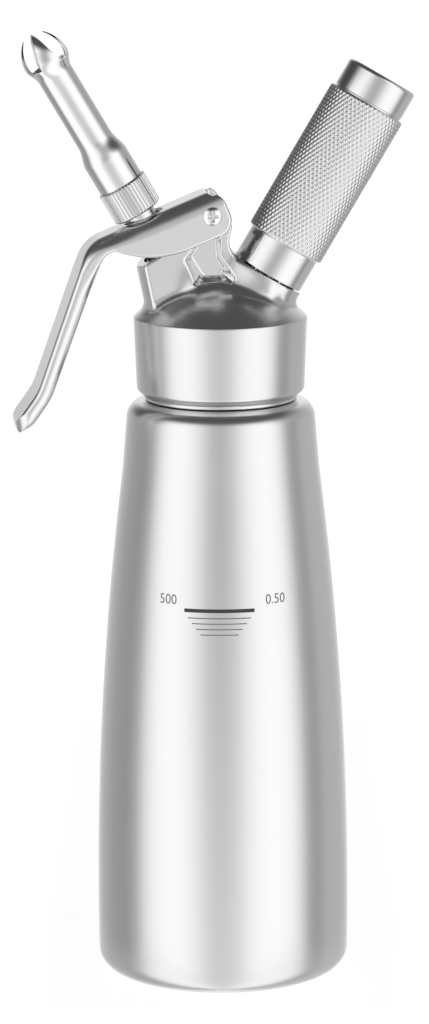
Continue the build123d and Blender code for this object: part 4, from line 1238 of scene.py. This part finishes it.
def ringLevel(tree, share, ring):
    # brightness by the angle round the horizon, from stops of angle and brightness
    ramp = addNode(tree, "ShaderNodeValToRGB", (share,))
    ramp.color_ramp.interpolation = "EASE"
    stops = ramp.color_ramp.elements
    while len(stops) < len(ring):
        stops.new(0.5)
    top = max(level for _, level in ring)
    for stop, (degree, level) in zip(stops, ring):
        stop.position = (degree + 180) / 360
        stop.color = (level / top, level / top, level / top, 1)
    return addNode(tree, "ShaderNodeMath", (ramp, top), operation="MULTIPLY")


def turnedPlace(tree, coordinate):
    # X, Y and Z, turned to the studio's bearing
    place = addNode(tree, "ShaderNodeTexCoord")
    turned = addNode(tree, "ShaderNodeMapping", {
        "Vector": place.outputs[coordinate], "Rotation": (0, 0, -radians(studio["bearing"]))},
        vector_type="POINT")
    return addNode(tree, "ShaderNodeSeparateXYZ", (turned,)).outputs


def studioWorld():
    world = bpy.data.worlds.new("studio")
    world.use_nodes = True
    scene.world = world
    tree = world.node_tree
    tree.nodes.clear()
    x, y, z = turnedPlace(tree, "Generated")
    # the camera's side is towards -Y here, so the angle runs from there to both sides
    front = addNode(tree, "ShaderNodeMath", (y, -1.0), operation="MULTIPLY")
    angle = addNode(tree, "ShaderNodeMath", (x, front), operation="ARCTAN2")
    share = addNode(tree, "ShaderNodeMapRange", {
        "Value": angle, "From Min": -pi, "From Max": pi, "To Min": 0.0, "To Max": 1.0})
    height = addNode(tree, "ShaderNodeMath", (z,), operation="ARCSINE")
    rise = addNode(tree, "ShaderNodeMapRange", {
        "Value": height, "From Min": radians(studio["highFrom"]), "From Max": radians(studio["highTo"]),
        "To Min": 0.0, "To Max": 1.0}, interpolation_type="SMOOTHSTEP")
    lower, upper = (ringLevel(tree, share, studio[key]) for key in ("ring", "highRing"))
    ring = addNode(tree, "ShaderNodeMix", {0: rise, 2: lower, 3: upper}, data_type="FLOAT")
    aside = addNode(tree, "ShaderNodeMath", (angle,), operation="ABSOLUTE")
    near = addNode(tree, "ShaderNodeMapRange", {
        "Value": aside, "From Min": 0.0, "From Max": radians(studio["bounceWidth"]),
        "To Min": studio["bounce"], "To Max": 0.0}, interpolation_type="SMOOTHSTEP")
    low = addNode(tree, "ShaderNodeMapRange", {
        "Value": height, "From Min": 0.0, "From Max": radians(studio["bounceAt"]), "To Min": 0.0,
        "To Max": 1.0})
    thrown = addNode(tree, "ShaderNodeMath", (near, low, ring), operation="MULTIPLY_ADD")
    fade = addNode(tree, "ShaderNodeMapRange", {
        "Value": height, "From Min": radians(studio["fadeFrom"]), "From Max": radians(studio["fadeTo"]),
        "To Min": 0.0, "To Max": 1.0}, interpolation_type="SMOOTHSTEP")
    level = addNode(tree, "ShaderNodeMix", {0: fade, 2: thrown, 3: studio["overhead"]}, data_type="FLOAT")
    light = addNode(tree, "ShaderNodeBackground", {"Color": [1, 1, 1, 1], "Strength": level})
    addNode(tree, "ShaderNodeOutputWorld", {"Surface": light})


studioWorld()


def paperMaterial():
    # thin white tracing film on a lit table: mostly clear, with soft ends and a faint shadow
    material, tree = newMaterial("tracingFilm")
    x, y, _ = turnedPlace(tree, "Object")
    aside = addNode(tree, "ShaderNodeMath", (x,), operation="ABSOLUTE")
    over = addNode(tree, "ShaderNodeMath", (aside, studio["paperHalf"] * mm), operation="SUBTRACT")
    middle = (studio["paperBack"] - studio["paperFront"]) / 2 * mm
    length = (studio["paperBack"] + studio["paperFront"]) / 2 * mm
    along = addNode(tree, "ShaderNodeMath", (y, middle), operation="SUBTRACT")
    reach = addNode(tree, "ShaderNodeMath", (along,), operation="ABSOLUTE")
    past = addNode(tree, "ShaderNodeMath", (reach, length), operation="SUBTRACT")
    side = addNode(tree, "ShaderNodeMath", (over, 0.0), operation="MAXIMUM")
    end = addNode(tree, "ShaderNodeMath", (past, 0.0), operation="MAXIMUM")
    both = addNode(tree, "ShaderNodeCombineXYZ", (side, end, 0.0))
    away = addNode(tree, "ShaderNodeVectorMath", (both,), operation="LENGTH")
    fade = addNode(tree, "ShaderNodeMapRange", {
        "Value": away.outputs["Value"], "From Min": 0.0, "From Max": studio["paperEdge"] * mm,
        "To Min": 1 - studio["paperBody"], "To Max": 1.0}, interpolation_type="SMOOTHSTEP")
    card = addNode(tree, "ShaderNodeBsdfDiffuse", {"Color": linear("#E8E8E8")})
    glow = addNode(tree, "ShaderNodeEmission", {"Color": [1, 1, 1, 1], "Strength": studio["paperGlow"]})
    paper = addNode(tree, "ShaderNodeAddShader", (card, glow))
    clear = addNode(tree, "ShaderNodeBsdfTransparent")
    mix = addNode(tree, "ShaderNodeMixShader", (fade, paper, clear))
    addNode(tree, "ShaderNodeOutputMaterial", {"Surface": mix})
    return material


def addPaper():
    half = (studio["paperHalf"] + studio["paperEdge"]) * mm
    near = -(studio["paperFront"] + studio["paperEdge"]) * mm
    far = (studio["paperBack"] + studio["paperEdge"]) * mm
    turn = Matrix.Rotation(radians(studio["bearing"]), 3, "Z")
    corners = [turn @ Vector(c) for c in ((-half, near, 0), (half, near, 0), (half, far, 0), (-half, far, 0))]
    mesh = bpy.data.meshes.new("paper")
    mesh.from_pydata(corners, [], [(0, 1, 2, 3)])
    mesh.materials.append(paperMaterial())
    paper = bpy.data.objects.new("paper", mesh)
    scene.collection.objects.link(paper)


addPaper()
scene.view_settings.view_transform = "Standard"
print("studio done")
